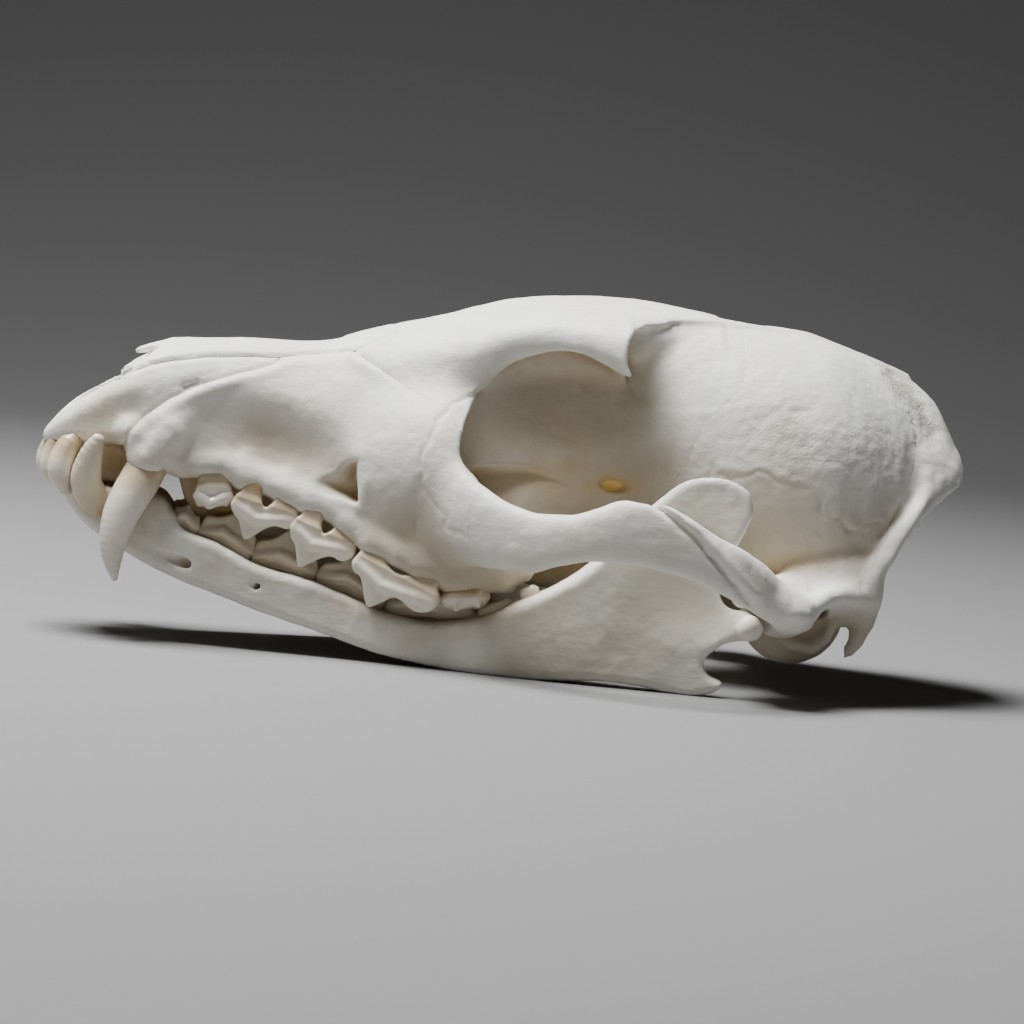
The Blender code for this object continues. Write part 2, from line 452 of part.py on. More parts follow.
def cheek_tooth(front, rear, width, cusps, up, cell):
    """A crown as a fan of cones from its base to each cusp, on two roots."""
    front, rear = np.array(front), np.array(rear)
    along = rear - front
    length = np.linalg.norm(along)
    along /= length
    crown = np.cross(along, (0, 1, 0)) * (-1 if up else 1)
    crown /= np.linalg.norm(crown)
    crown *= 1 if (crown[2] > 0) == up else -1
    cheek = np.array((0, 1, 0))
    base = 0.36 * width
    tallest = max(height for _, height, _ in cusps)
    ends = [front - 2.6 * crown, rear + tallest * crown, front + tallest * crown, rear - 2.6 * crown]
    clay = tooth_clay(ends, width * 0.7 + 2, cell)
    inset = base / length
    for share, height, shift in cusps:
        tip = front + along * length * share + crown * (height - 0.45) + cheek * shift
        spread = min(0.5, 0.62 * height / length + 0.12)
        for place in np.linspace(max(inset, share - spread), min(1 - inset, share + spread), 4):
            foot = front + along * length * place - crown * 0.2 + cheek * shift * 0.55
            clay.add(rod([foot, tip], (base, 0.42), squash=(1, 1.15, 1)), 0.35)
    gum = [front + along * base - crown * 0.3, rear - along * base - crown * 0.3]
    clay.add(rod(gum, (base, base)), 0.5)
    for place in (0.24, 0.76) if length > 5 else (0.5,):
        foot = front + along * length * place
        clay.add(rod([foot, foot - crown * 2.8], (base, base * 0.85)), 0.4)
    return clay


def teeth_of(side_rows, canine, incisors, bones, up, cell):
    """Each tooth of one side as (bone, name, clay)."""
    rows = []
    for bone, name, front, rear, width, cusps in side_rows:
        rows.append((bone, name, cheek_tooth(front, rear, width, cusps, up, cell)))
    if up:
        rows.append((bones[1], "lower canine",
                     curved_tooth(canine, (1.8, 2.35, 2.2, 1.75, 1.2, 0.5), (1, 1.2, 1), cell)))
    else:
        rows.append((bones[1], "upper canine",
                     curved_tooth(canine, (2.0, 2.9, 2.75, 2.4, 1.9, 1.2, 0.55), (1, 1.25, 1), cell)))
    for number, path in enumerate(incisors):
        wide = (1.0 if up else 1.25) + 0.22 * number
        rows.append((bones[0], f"incisor {number + 1}",
                     curved_tooth(path, (wide * 0.8, wide, wide * 0.95, wide * 0.5), (1, 1, 1), cell)))
    return rows


# Meshes

def lay_down(points):
    """Turn points nose down until the jaw rests on its lower borders, and put it on the floor."""
    c, s = math.cos(math.radians(PITCH)), math.sin(math.radians(PITCH))
    x, y, z = np.asarray(points, float).T
    return np.stack([c * x - s * z + MIDDLE_SHIFT, y, s * x + c * z - FLOOR_DROP], axis=1)


def mesh_object(name, points, faces):
    """A new object from points in millimetres."""
    mesh = bpy.data.meshes.new(name)
    mesh.from_pydata((lay_down(points) * MM).tolist(), [], np.asarray(faces).tolist())
    piece = bpy.data.objects.new(name, mesh)
    bpy.context.scene.collection.objects.link(piece)
    return piece


def apply_modifiers(piece):
    """Put the evaluated mesh in the place of the mesh, and keep its largest closed surface."""
    graph = bpy.context.evaluated_depsgraph_get()
    mesh = bpy.data.meshes.new_from_object(piece.evaluated_get(graph))
    piece.modifiers.clear()
    piece.data = mesh
    keep_largest(mesh)


def keep_largest(mesh):
    """Delete every closed surface but the one with most faces."""
    shell = bmesh.new()
    shell.from_mesh(mesh)
    unseen, surfaces = set(shell.faces), []
    while unseen:
        surface, edge = [], [unseen.pop()]
        while edge:
            face = edge.pop()
            surface.append(face)
            for line in face.edges:
                for other in line.link_faces:
                    if other in unseen:
                        unseen.remove(other)
                        edge.append(other)
        surfaces.append(surface)
    surfaces.sort(key=len)
    loose = [face for surface in surfaces[:-1] for face in surface]
    bmesh.ops.delete(shell, geom=loose, context="FACES")
    bmesh.ops.triangulate(shell, faces=shell.faces)
    shell.to_mesh(mesh)
    shell.free()


def flatten(piece):
    """Join faces that lie nearly level with each other, which keeps cut faces flat."""
    dissolve = piece.modifiers.new("flatten", "DECIMATE")
    dissolve.decimate_type = "DISSOLVE"
    dissolve.angle_limit = math.radians(LEVEL_ANGLE)
    apply_modifiers(piece)


def thin(piece, triangles):
    """Thin a dense skin down to about the number of triangles."""
    current = sum(len(face.vertices) - 2 for face in piece.data.polygons)
    decimate = piece.modifiers.new("thin", "DECIMATE")
    decimate.ratio = min(1.0, triangles / current)
    apply_modifiers(piece)


def solve(piece, operation, other=None, collection=None):
    """Apply one Boolean to the piece and remove what it used."""
    boolean = piece.modifiers.new(operation, "BOOLEAN")
    boolean.operation = operation
    boolean.solver = "MANIFOLD"
    if collection:
        boolean.operand_type = "COLLECTION"
        boolean.collection = collection
    else:
        boolean.object = other
    apply_modifiers(piece)


def halve(piece):
    """Keep the +Y half and mirror it, so that both sides are alike."""
    shell = bmesh.new()
    shell.from_mesh(piece.data)
    bmesh.ops.bisect_plane(shell, geom=shell.verts[:] + shell.edges[:] + shell.faces[:],
                           plane_co=(0, 0, 0), plane_no=(0, -1, 0), clear_outer=True)
    shell.to_mesh(piece.data)
    shell.free()
    mirror = piece.modifiers.new("mirror", "MIRROR")
    mirror.use_axis = (False, True, False)
    mirror.use_clip = True
    mirror.merge_threshold = 0.000002
    apply_modifiers(piece)


def discard(piece):
    bpy.data.objects.remove(piece, do_unlink=True)


def prism(name, outline, grow, low=-60, high=60, across="Y"):
    """A closed prism of an XZ (or, across Z, an XY) outline, each side moved out by grow."""
    outline = np.array(outline, float)
    ahead = np.roll(outline, -1, axis=0) - outline
    area = np.sum(outline[:, 0] * np.roll(outline[:, 1], -1) - np.roll(outline[:, 0], -1) * outline[:, 1])
    normal = np.stack([ahead[:, 1], -ahead[:, 0]], axis=1) * math.copysign(1, area)
    normal /= np.linalg.norm(normal, axis=1, keepdims=True)
    before = np.roll(normal, 1, axis=0)
    corner = (normal + before) / (1 + np.sum(normal * before, axis=1, keepdims=True))
    outline = outline + corner * grow
    count = len(outline)
    rings = []
    for level in (low, high):
        column = np.full((count, 1), float(level))
        if across == "Y":
            rings.append(np.hstack([outline[:, :1], column, outline[:, 1:]]))
        else:
            rings.append(np.hstack([outline, column]))
    faces = [[i, (i + 1) % count, count + (i + 1) % count, count + i] for i in range(count)]
    piece = mesh_object(name, np.vstack(rings), faces)
    shell = bmesh.new()
    shell.from_mesh(piece.data)
    for level in (0, 1):
        shell.verts.ensure_lookup_table()
        shell.faces.new([shell.verts[level * count + i] for i in range(count)])
    bmesh.ops.triangulate(shell, faces=shell.faces)
    bmesh.ops.recalc_face_normals(shell, faces=shell.faces)
    shell.to_mesh(piece.data)
    shell.free()
    return piece


def cut_out(name, source, outline, grow=-GAP / 2, **limits):
    """A copy of the source kept only inside the prism of the outline."""
    piece = bpy.data.objects.new(name, source.data.copy())
    bpy.context.scene.collection.objects.link(piece)
    cutter = prism("cutter", outline, grow, **limits)
    solve(piece, "INTERSECT", cutter)
    discard(cutter)
    flatten(piece)
    return piece


def mirror_copy(name, source):
    """A copy of the source on the other side of y = 0."""
    mesh = source.data.copy()
    mesh.transform(Matrix.Scale(-1, 4, (0, 1, 0)))
    mesh.flip_normals()
    piece = bpy.data.objects.new(name, mesh)
    bpy.context.scene.collection.objects.link(piece)
    return piece


def set_teeth(rows):
    """Mesh objects of the teeth on both sides, grouped by the bone that holds them."""
    pieces = {}
    for bone, name, clay in rows:
        piece = mesh_object(name, *clay.skin())
        size = max(piece.dimensions) / MM
        thin(piece, SMALL_TOOTH_TRIANGLES + TRIANGLES_PER_MM * size)
        pieces.setdefault(bone, []).append(piece)
    return pieces


def fuse(bone, teeth):
    """Union the teeth, which are then removed, into the bone."""
    group = bpy.data.collections.new("teeth")
    for tooth in teeth:
        group.objects.link(tooth)
    solve(bone, "UNION", collection=group)
    for tooth in teeth:
        discard(tooth)
    bpy.data.collections.remove(group)


# Bones

def bulla_outline(side):
    """An oval round the ear bulla, seen from above."""
    turns = np.arange(20) / 20 * 2 * math.pi
    (x, y), (a, b) = BULLA_CENTRE, BULLA_RADII
    return [(x + a * math.cos(turn), side * (y + b * math.sin(turn))) for turn in turns]


def part_skull(skull):
    """Part the skull into its bones with thin cuts."""
    sides = {"left": -1, "right": 1}
    bones = {}
    for side, sign in sides.items():
        cheek = [(x, sign * y) for x, y in CHEEK_PLAN]
        plans = {"cheekbone_": (cheek, 60.0), "ear_bulla_": (bulla_outline(sign), BULLA_ROOT)}
        for name, (plan, top) in plans.items():
            bones[name + side] = cut_out(name + side, skull, plan, high=top - GAP / 2, across="Z")
            cutter = prism("cutter", plan, GAP / 2, high=top + GAP / 2, across="Z")
            solve(skull, "DIFFERENCE", cutter)
            discard(cutter)
    for name, outline in bone_outlines().items():
        bones[name] = cut_out(name, skull, outline)
    discard(skull)
    return bones


def rest_flats(jaw):
    """Cut the lower borders of the jaw level where it rests."""
    bpy.ops.mesh.primitive_cube_add(size=0.2, location=(0, 0, -0.1))
    floor = bpy.context.object
    solve(jaw, "DIFFERENCE", floor)
    discard(floor)


def colour(piece):
    """Dry bleached bone, a little different on each bone."""
    shade = 1 - 0.02 * (sum(map(ord, piece.name)) % 4)
    material = bpy.data.materials.new(piece.name)
    material.use_nodes = True
    surface = material.node_tree.nodes["Principled BSDF"]
    surface.inputs["Base Color"].default_value = tuple(shade * c for c in BONE_COLOUR) + (1.0,)
    surface.inputs["Roughness"].default_value = BONE_ROUGHNESS
    surface.inputs["Metallic"].default_value = 0.0
    piece.data.materials.clear()
    piece.data.materials.append(material)
    piece.data.shade_smooth()
    piece.data.set_sharp_from_angle(angle=math.radians(50))


def main():
    for thing in list(bpy.data.objects):
        bpy.data.objects.remove(thing, do_unlink=True)
    skull = mesh_object("skull", *skull_clay(SKULL_CELL).skin())
    thin(skull, SKULL_TRIANGLES)
    halve(skull)
    bones = part_skull(skull)
    uppers = set_teeth(teeth_of(UPPER_TEETH, UPPER_CANINE, UPPER_INCISORS, ("premaxilla", "maxilla"),
                                False, TOOTH_CELL))
    for bone, teeth in uppers.items():
        fuse(bones[bone], teeth + [mirror_copy(tooth.name + " left", tooth) for tooth in teeth])
    lowers = set_teeth(teeth_of([("mandible",) + row for row in LOWER_TEETH], LOWER_CANINE,
                                LOWER_INCISORS, ("mandible", "mandible"), True, TOOTH_CELL))
    jaw = mesh_object("mandible_right", *jaw_clay(JAW_CELL).skin())
    thin(jaw, JAW_TRIANGLES)
    fuse(jaw, lowers["mandible"])
    rest_flats(jaw)
    bones[jaw.name] = jaw
    bones["mandible_left"] = mirror_copy("mandible_left", jaw)
    for name, bone in bones.items():
        colour(bone)
        print(name, len(bone.data.polygons))


main()
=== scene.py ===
# %% [markdown]
# # A fox's skull, dry and bleached
#
# The object is the skull of an adult red fox with its lower jaw, as a museum keeps it: boiled
# clean, bleached, and laid down on the lower borders of the jaw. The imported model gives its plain
# solids. This script makes the surface that is looked at: bone with its seams, holes, scars and
# pores, and teeth with their gloss.
#
# Bone has no straight line and no flat side, so it could be made by pushing points about by hand,
# by subdivision surfaces, or as a field of distances that shapes are added to and cut from, like
# clay. The clay was chosen, because a skull is bulges and hollows that flow into each other.

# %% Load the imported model
import math

import bpy
import numpy as np
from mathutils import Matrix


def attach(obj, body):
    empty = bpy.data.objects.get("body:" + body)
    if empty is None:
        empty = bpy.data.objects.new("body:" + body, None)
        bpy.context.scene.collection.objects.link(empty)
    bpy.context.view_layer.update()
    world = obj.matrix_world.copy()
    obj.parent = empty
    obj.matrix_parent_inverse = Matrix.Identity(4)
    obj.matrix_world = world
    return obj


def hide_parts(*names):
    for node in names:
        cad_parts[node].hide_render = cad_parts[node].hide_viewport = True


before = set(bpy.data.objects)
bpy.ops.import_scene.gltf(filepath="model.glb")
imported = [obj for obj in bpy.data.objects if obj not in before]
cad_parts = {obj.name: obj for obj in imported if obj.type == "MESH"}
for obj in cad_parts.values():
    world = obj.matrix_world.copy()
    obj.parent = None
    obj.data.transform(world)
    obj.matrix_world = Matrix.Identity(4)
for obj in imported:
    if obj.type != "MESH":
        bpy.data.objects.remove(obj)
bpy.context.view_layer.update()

import openvdb
from mathutils import Matrix, Vector

print("nodes:", sorted(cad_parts))

# %% [markdown]
# ## Sizes
#
# All shapes are drawn in millimetres in the frame of the photograph: the fox faces -X, its left
# side is -Y and faces the camera, and +Z is up. The finished points are turned 5.1 degrees nose
# down, so that the jaw lies on its borders, and moved to the middle of the floor. The camera is
# turned in the same way, so it still sees the skull as the photograph does.

# %% Driving sizes
MM = 0.001
PITCH = math.radians(5.1)
FLOOR_DROP = 2.5
MIDDLE_SHIFT = 3.9
OUTSIDE = 12.0

BONE_CELL = 0.36
JAW_CELL = 0.3
TOOTH_CELL = 0.165

# Bones part by the seam, and an edge with a sharper turn than the crease is shaded as an edge.
SEAM = 0.03
CREASE = math.radians(48)
ARCH_HALF_BREADTH = 37.4
BRAIN_HALF_BREADTH = 23.6
MUZZLE_HALF_BREADTH = 10.4
BACK_OF_SKULL = 75.0


def lay_down(points):
    """Turn points nose down and put them on the floor."""
    c, s = math.cos(PITCH), math.sin(PITCH)
    x, y, z = np.asarray(points, float).T
    return np.stack([c * x - s * z + MIDDLE_SHIFT, y, s * x + c * z - FLOOR_DROP], axis=1)


# %% [markdown]
# ## Curves
#
# A skull is known by its lines: the line of the brow, the edge of the tooth sockets, the rim of
# the eye socket. Each is a smooth curve through a few places read off the bone. The curve must
# not swing past its places, so it is a monotone cubic and not a plain spline.

# %% Smooth lines
def curve(*stations):
    """A smooth curve without overshoot through (place, value) stations."""
    place, value = np.array(stations, float).T
    step = np.diff(place)
    rise = np.diff(value) / step
    slope = np.zeros(len(place))
    slope[0], slope[-1] = rise[0], rise[-1]
    for i in range(1, len(place) - 1):
        if rise[i - 1] * rise[i] > 0:
            near, far = 2 * step[i] + step[i - 1], step[i] + 2 * step[i - 1]
            slope[i] = (near + far) / (near / rise[i - 1] + far / rise[i])

    def at(x):
        x = np.clip(x, place[0], place[-1])
        i = np.clip(np.searchsorted(place, x, side="right") - 1, 0, len(step) - 1)
        t = (x - place[i]) / step[i]
        start = value[i] * (1 + 2 * t) * (1 - t) ** 2 + slope[i] * step[i] * t * (1 - t) ** 2
        end = value[i + 1] * (3 - 2 * t) * t ** 2 - slope[i + 1] * step[i] * (1 - t) * t ** 2
        return start + end

    return at


def rounded(corners, steps=6):
    """Points of a closed smooth line through the corners."""
    corners = np.array(corners, float)
    before, after, beyond = (np.roll(corners, shift, axis=0) for shift in (1, -1, -2))
    points = []
    for t in np.arange(steps) / steps:
        points.append(0.5 * (2 * corners + (after - before) * t
                             + (2 * before - 5 * corners + 4 * after - beyond) * t ** 2
                             + (3 * corners - before - 3 * after + beyond) * t ** 3))
    return np.stack(points, axis=1).reshape(-1, corners.shape[1])


def line_distance(points, a, b, closed=False):
    """Distance from places (a, b) to a line; negative inside it where it is closed."""
    points = np.asarray(points, float)
    ends = np.roll(points, -1, axis=0) if closed else points[1:]
    nearest = np.full(np.broadcast(a, b).shape, np.inf)
    inside = np.zeros(nearest.shape, bool)
    for (a0, b0), (a1, b1) in zip(points, ends):
        da, db = a1 - a0, b1 - b0
        t = np.clip(((a - a0) * da + (b - b0) * db) / (da * da + db * db + 1e-12), 0, 1)
        nearest = np.minimum(nearest, (a - a0 - t * da) ** 2 + (b - b0 - t * db) ** 2)
        if abs(db) > 1e-9:
            inside ^= ((b0 <= b) != (b1 <= b)) & (a < a0 + (b - b0) / db * da)
    return np.sqrt(nearest) * (np.where(inside, -1, 1) if closed else 1)


def side_outline(outline, x, z):
    """Distance to a closed outline seen from the side, the same at every y of a block."""
    return line_distance(outline, x[:, 0], z[:, 0], closed=True)[:, None, :].astype(np.float32)


# %% [markdown]
# ## Clay
#
# The clay is a block of samples. Each holds the distance to the surface, negative inside. Adding
# a shape takes the smaller distance, cutting takes the larger one turned round, and a blend lets
# the two flow together, as bone does wherever one part grows out of another. OpenVDB, which
# Blender carries, skins the block with quads where the distance is nought.

# %% The block of clay
def blend_in(one, two, blend):
    """Join two fields, with a fillet about as wide as the blend."""
    if blend == 0:
        return np.minimum(one, two)
    overlap = np.maximum(blend - np.abs(one - two), 0) / blend
    return np.minimum(one, two) - overlap ** 2 * blend / 4


class Clay:
    """A block of distance samples that shapes are added to and cut from."""

    def __init__(self, low, high, cell):
        self.low, self.cell = np.array(low, float), cell
        self.axes = [np.arange(math.ceil((b - a) / cell) + 1) * cell + a for a, b in zip(low, high)]
        self.field = np.full([len(axis) for axis in self.axes], OUTSIDE, np.float32)

    def window(self, low=None, high=None):
        """The slices of a box of the block, and its x, y and z as arrays that broadcast."""
        if low is None:
            low, high = [axis[0] for axis in self.axes], [axis[-1] + 1 for axis in self.axes]
        spans = tuple(slice(*np.searchsorted(axis, ends))
                      for axis, ends in zip(self.axes, zip(low, high)))
        parts = [axis[span].astype(np.float32) for axis, span in zip(self.axes, spans)]
        return spans, parts[0][:, None, None], parts[1][None, :, None], parts[2][None, None, :]

    def add(self, shape, blend=0.0, low=None, high=None):
        """Join a shape to the clay inside a box, with a fillet."""
        spans, x, y, z = self.window(low, high)
        self.field[spans] = blend_in(self.field[spans], shape(x, y, z), blend)

    def cut(self, shape, blend=0.0, low=None, high=None):
        """Take a shape away from the clay inside a box, with a fillet."""
        spans, x, y, z = self.window(low, high)
        self.field[spans] = -blend_in(-self.field[spans], shape(x, y, z), blend)

    def noise(self, size, seed, low=None, high=None):
        """Soft noise from -1 to 1 on a box of the block, with lumps about size across."""
        spans, *_ = self.window(low, high)
        rng = np.random.default_rng(seed)
        weights = []
        for axis, span in zip(self.axes, spans):
            place = (axis[span] - axis[0]) / size
            knot = np.floor(place).astype(int)
            t = place - knot
            t = t * t * (3 - 2 * t)
            weight = np.zeros((len(place), knot[-1] + 2), np.float32)
            weight[np.arange(len(place)), knot] = 1 - t
            weight[np.arange(len(place)), knot + 1] = t
            weights.append(weight)
        values = rng.uniform(-1, 1, [weight.shape[1] for weight in weights]).astype(np.float32)
        values = np.tensordot(weights[0], values, (1, 0))
        values = np.tensordot(weights[1], values, (1, 1)).transpose(1, 0, 2)
        return values @ weights[2].T

    def skin(self, field=None, shift=0):
        """Points in millimetres and quads of the surface of the clay, or of a part of it."""
        grid = openvdb.FloatGrid(OUTSIDE)
        grid.copyFromArray(np.clip(self.field if field is None else field, -OUTSIDE, OUTSIDE))
        points, quads = grid.convertToQuads(isovalue=0.0)
        return (points + shift) * self.cell + self.low, quads

    def mirrored(self):
        """Join the field to its mirror image across y = 0, where its grid must start."""
        full = Clay.__new__(Clay)
        full.cell, full.low = self.cell, self.low * (1, 0, 1) - (0, self.axes[1][-1], 0)
        full.axes = [self.axes[0], np.concatenate([-self.axes[1][:0:-1], self.axes[1]]), self.axes[2]]
        full.field = np.concatenate([self.field[:, :0:-1], self.field], axis=1)
        return full


# %% [markdown]
# ## Shapes
#
# Four shapes are enough. A loft is a body along the skull with a rounded section. A ball is a
# bulge or a hollow. A rod is a chain of tapering bars, for crests, processes and canals. A plate
# is a thin sheet cut to an outline, as the lower jaw is. Each is a function that gives the
# distance to its surface at x, y and z.

# %% The four shapes
def loft(top, middle, bottom, half, upper=2.0, lower=2.0, centre=0.0):
    """A body along X with a rounded section, widest at the height of its middle."""
    def distance(x, y, z):
        mid, side = middle(x), half(x)
        above = z > mid
        tall = np.maximum(np.where(above, top(x) - mid, mid - bottom(x)), 0.5)
        power = np.where(above, upper(x) if callable(upper) else upper,
                         lower(x) if callable(lower) else lower)
        out = np.abs(y - (centre(x) if callable(centre) else centre)) / side + 1e-4
        up = np.abs(z - mid) / tall + 1e-4
        reach = (out ** power + up ** power) ** (1 / power)
        steep = np.hypot((out / reach) ** (power - 1) / side, (up / reach) ** (power - 1) / tall)
        return ((reach - 1) / steep).astype(np.float32)

    return distance


def ball(centre, radii, turn=0.0, tip=0.0):
    """An ellipsoid, turned about Z and then tipped about Y, in degrees."""
    c, s = math.cos(math.radians(turn)), math.sin(math.radians(turn))
    ct, st = math.cos(math.radians(tip)), math.sin(math.radians(tip))

    def distance(x, y, z):
        dx, dy, dz = x - centre[0], y - centre[1], z - centre[2]
        u, v = c * dx + s * dy, c * dy - s * dx
        u, w = ct * u + st * dz, ct * dz - st * u
        a, b, d = radii
        reach = np.sqrt((u / a) ** 2 + (v / b) ** 2 + (w / d) ** 2) + 1e-6
        steep = np.sqrt((u / a ** 2) ** 2 + (v / b ** 2) ** 2 + (w / d ** 2) ** 2) + 1e-6
        return reach * (reach - 1) / steep

    return distance


def rod(points, radii, squash=(1.0, 1.0, 1.0)):
    """A chain of tapering round bars through the points; squash above 1 thins it on that axis."""
    points = [np.array(p, float) for p in points]

    def distance(x, y, z):
        best = None
        for (a, b), (ra, rb) in zip(zip(points, points[1:]), zip(radii, radii[1:])):
            ax = b - a
            dx, dy, dz = x - a[0], y - a[1], z - a[2]
            t = np.clip((dx * ax[0] + dy * ax[1] + dz * ax[2]) / ax.dot(ax), 0, 1)
            gap = np.sqrt(((dx - t * ax[0]) * squash[0]) ** 2 + ((dy - t * ax[1]) * squash[1]) ** 2
                          + ((dz - t * ax[2]) * squash[2]) ** 2) - (ra + t * (rb - ra))
            best = gap if best is None else np.minimum(best, gap)
        return best

    return distance


def round_off(flat, deep, edge):
    """The body inside both an outline and a pair of sides, with its edge rounded."""
    inner = np.minimum(np.maximum(flat, deep) + edge, 0)
    return inner + np.hypot(np.maximum(flat + edge, 0), np.maximum(deep + edge, 0)) - edge


def plate(outline, middle, thick, edge):
    """An upright plate: an outline in XZ, a middle surface and a half thickness, edges rounded."""
    def distance(x, y, z):
        deep = np.abs(y - middle(x, z)) - thick(x, z)
        return round_off(side_outline(outline, x, z), deep, edge)

    return distance


# %% [markdown]
# ## The lines of the skull
#
# These are the top line, the line of the palate and tooth sockets, the height at which the skull
# is widest, and half its breadth. A fox's top line is its mark: long and level over the nose, a
# gentle step up to the brow, and a long fall to the crest.

# %% Lines of the skull
TOP = curve((-74.6, 39.8), (-73.4, 41), (-70.7, 43.9), (-68, 46.1), (-61, 50.7), (-57, 53.6),
            (-52.5, 55), (-43, 55), (-31, 54.3), (-21, 56.2), (-10, 58.5), (0, 60.7), (7, 61.4),
            (19.5, 60.8), (28, 59.4), (36, 57.5), (50, 54.8), (59, 50.9), (62.4, 49.5), (66, 47.6),
            (70.2, 44.3), (73.4, 37.4), (BACK_OF_SKULL, 33.7), (76, 32.5))
BOTTOM = curve((-74.6, 39.4), (-73, 38.4), (-69, 38.4), (-62, 38.0), (-58, 36), (-54, 34.2),
               (-48, 33.7), (-45.8, 33.5), (-40, 31.2), (-34, 28.7), (-28, 26.1), (-24, 23.0),
               (-19, 19.9), (-14, 17.4), (-7, 16.4), (0, 17.2), (6, 19), (16, 18.5), (26, 15.5),
               (36, 12.5), (46, 11), (56, 12.4), (62, 20), (68, 27), (72, 30), (75, 31.6))
WIDEST = curve((-74.6, 39.6), (-72, 40.4), (-66, 41.5), (-58, 41.5), (-46, 38), (-34, 33.5),
               (-24, 27), (-12, 25), (0, 28), (10, 34), (20, 37), (32, 34), (48, 31), (60, 28.5),
               (70, 30.6), (76, 31.8))
BREADTH = curve((-74.6, 0.6), (-73.8, 3.6), (-72.6, 5.4), (-70, 7.2), (-66, 8.3), (-63, 9.6),
                (-60, 11.4), (-54, 11.2), (-46, MUZZLE_HALF_BREADTH), (-40, 10.6), (-32, 12.7),
                (-25, 15.6), (-18, 18.2), (-11, 18.6), (-6, 16), (-1, 12.6), (4, 10.4), (12, 9.6),
                (18, 10.2), (24, 13), (30, 17.4), (36, 21), (42, 23), (48, BRAIN_HALF_BREADTH),
                (54, 22.4), (60, 19), (64, 16), (68, 13.4), (72, 10.4), (75, 7.0), (76, 6))
FLOOR_POWER = curve((-74, 3), (-60, 3.4), (-48, 6), (-6, 6), (6, 3.4), (20, 2.6), (76, 2.6))
ROOF_POWER = curve((-74, 3.6), (-62, 3.4), (-54, 2.5), (-30, 2.1), (20, 2.1), (50, 2.0),
                   (60, 1.75), (68, 1.35), (76, 1.3))
BROW_DROP = 1.5
BROW_HALF = curve((-26, 7), (-16, 11.4), (-8, 13), (0, 12.7), (6, 13.5), (11, 15.2), (15, 17.2),
                  (17.6, 17.8), (19.5, 15.4), (23, 12.4), (28, 11.5), (34, 10))
BROW_WIDEST = curve((-26, 49), (-8, 51), (2, 54.5), (11, 54), (17, 52), (21, 53.5), (34, 52))
BROW_BOTTOM = curve((-26, 40), (-8, 40), (2, 48), (10, 49.5), (17.6, 48.5), (22, 47), (34, 42))
RIM = rounded([
    (-0.9, 50.7), (-5.2, 47), (-8, 43.1), (-9.3, 39.6), (-9.3, 36), (-7.7, 33.5), (-5, 31), (0, 28.6),
    (8, 26), (17, 26), (24, 32), (26, 40), (24, 47), (20.4, 50.4), (18.2, 48.6), (15.4, 50.2),
    (11.8, 52.2), (8.2, 53.1), (3.9, 52.6)], steps=3)

# %% Lines of the cheekbone
ARCH_TOP = curve((-16, 40), (-10, 36), (-6, 32.6), (-2, 30.2), (2, 29.1), (6, 29.1), (10, 30.1),
                 (14, 31.3), (17, 31.4), (20, 30.4), (28, 26.2), (36, 21.2), (40, 17.4), (44, 14.4))
ARCH_BOTTOM = curve((-16, 21), (-10, 20.4), (-4, 20.2), (0, 19.8), (5, 21.2), (10, 21.9), (15, 21.6),
                    (20, 20.6), (24, 19.3), (28, 17.4), (32, 15.2), (36, 12.8), (40, 11.2), (44, 11))
ARCH_CENTRE = curve((-16, 13), (-12, 18), (-8, 22.6), (-4, 26.6), (0, 29.8), (5, 32.8), (10, 35),
                    (15, 36.4), (20, 37.2), (25, ARCH_HALF_BREADTH), (30, 37.1), (35, 35.3),
                    (38, 32.8), (41, 28.6), (44, 23))
ARCH_HALF = curve((-16, 6), (-10, 5), (-4, 3.3), (2, 2.5), (8, 2.1), (16, 1.8), (25, 1.7), (31, 2),
                  (36, 3), (40, 5), (44, 7))

# %% [markdown]
# ## The upper skull
#
# The upper skull is one piece of clay at first, drawn as its right half. The order matters: the
# cheek comes before the eye socket, whose edge has to be crisp, and the arch comes after it,
# because the socket must not eat the arch.

# %% Muzzle and cheek
def base_form():
    """The plain body of the skull, before anything is added to it."""
    return loft(TOP, WIDEST, BOTTOM, BREADTH, upper=ROOF_POWER, lower=FLOOR_POWER)


def shape_muzzle(clay):
    """The root of the canine, the hollow behind it and the bulges over the roots of the teeth."""
    clay.add(rod([(-45, 6.8, 47.4), (-49.5, 8.4, 45), (-53.8, 9.8, 41), (-57.4, 10.1, 36.8)],
                 (1.4, 2.7, 3.3, 3.2), squash=(1, 1.05, 1)), 1.8, (-66, 2, 30), (-38, 18, 54))
    clay.cut(ball((-40.5, 16.9, 40.6), (13.5, 8.4, 6.4), tip=-24), 4.0, (-60, 4, 26), (-18, 28, 54))
    clay.cut(ball((-64.8, 13.3, 42.7), (7.4, 4.1, 3.5), tip=26), 2.4, (-76, 5, 34), (-54, 20, 52))
    for x, y, z in ((-42.6, 9.7, 33.4), (-36, 10.4, 30.6), (-32.4, 11.1, 29.4), (-26.4, 12.9, 27)):
        clay.add(rod([(x, y, z - 0.6), (x + 0.5, y - 1.0, z + 2.6)], (1.5, 0.7)), 2.4,
                 (x - 6, 5, z - 7), (x + 6, 20, z + 10))


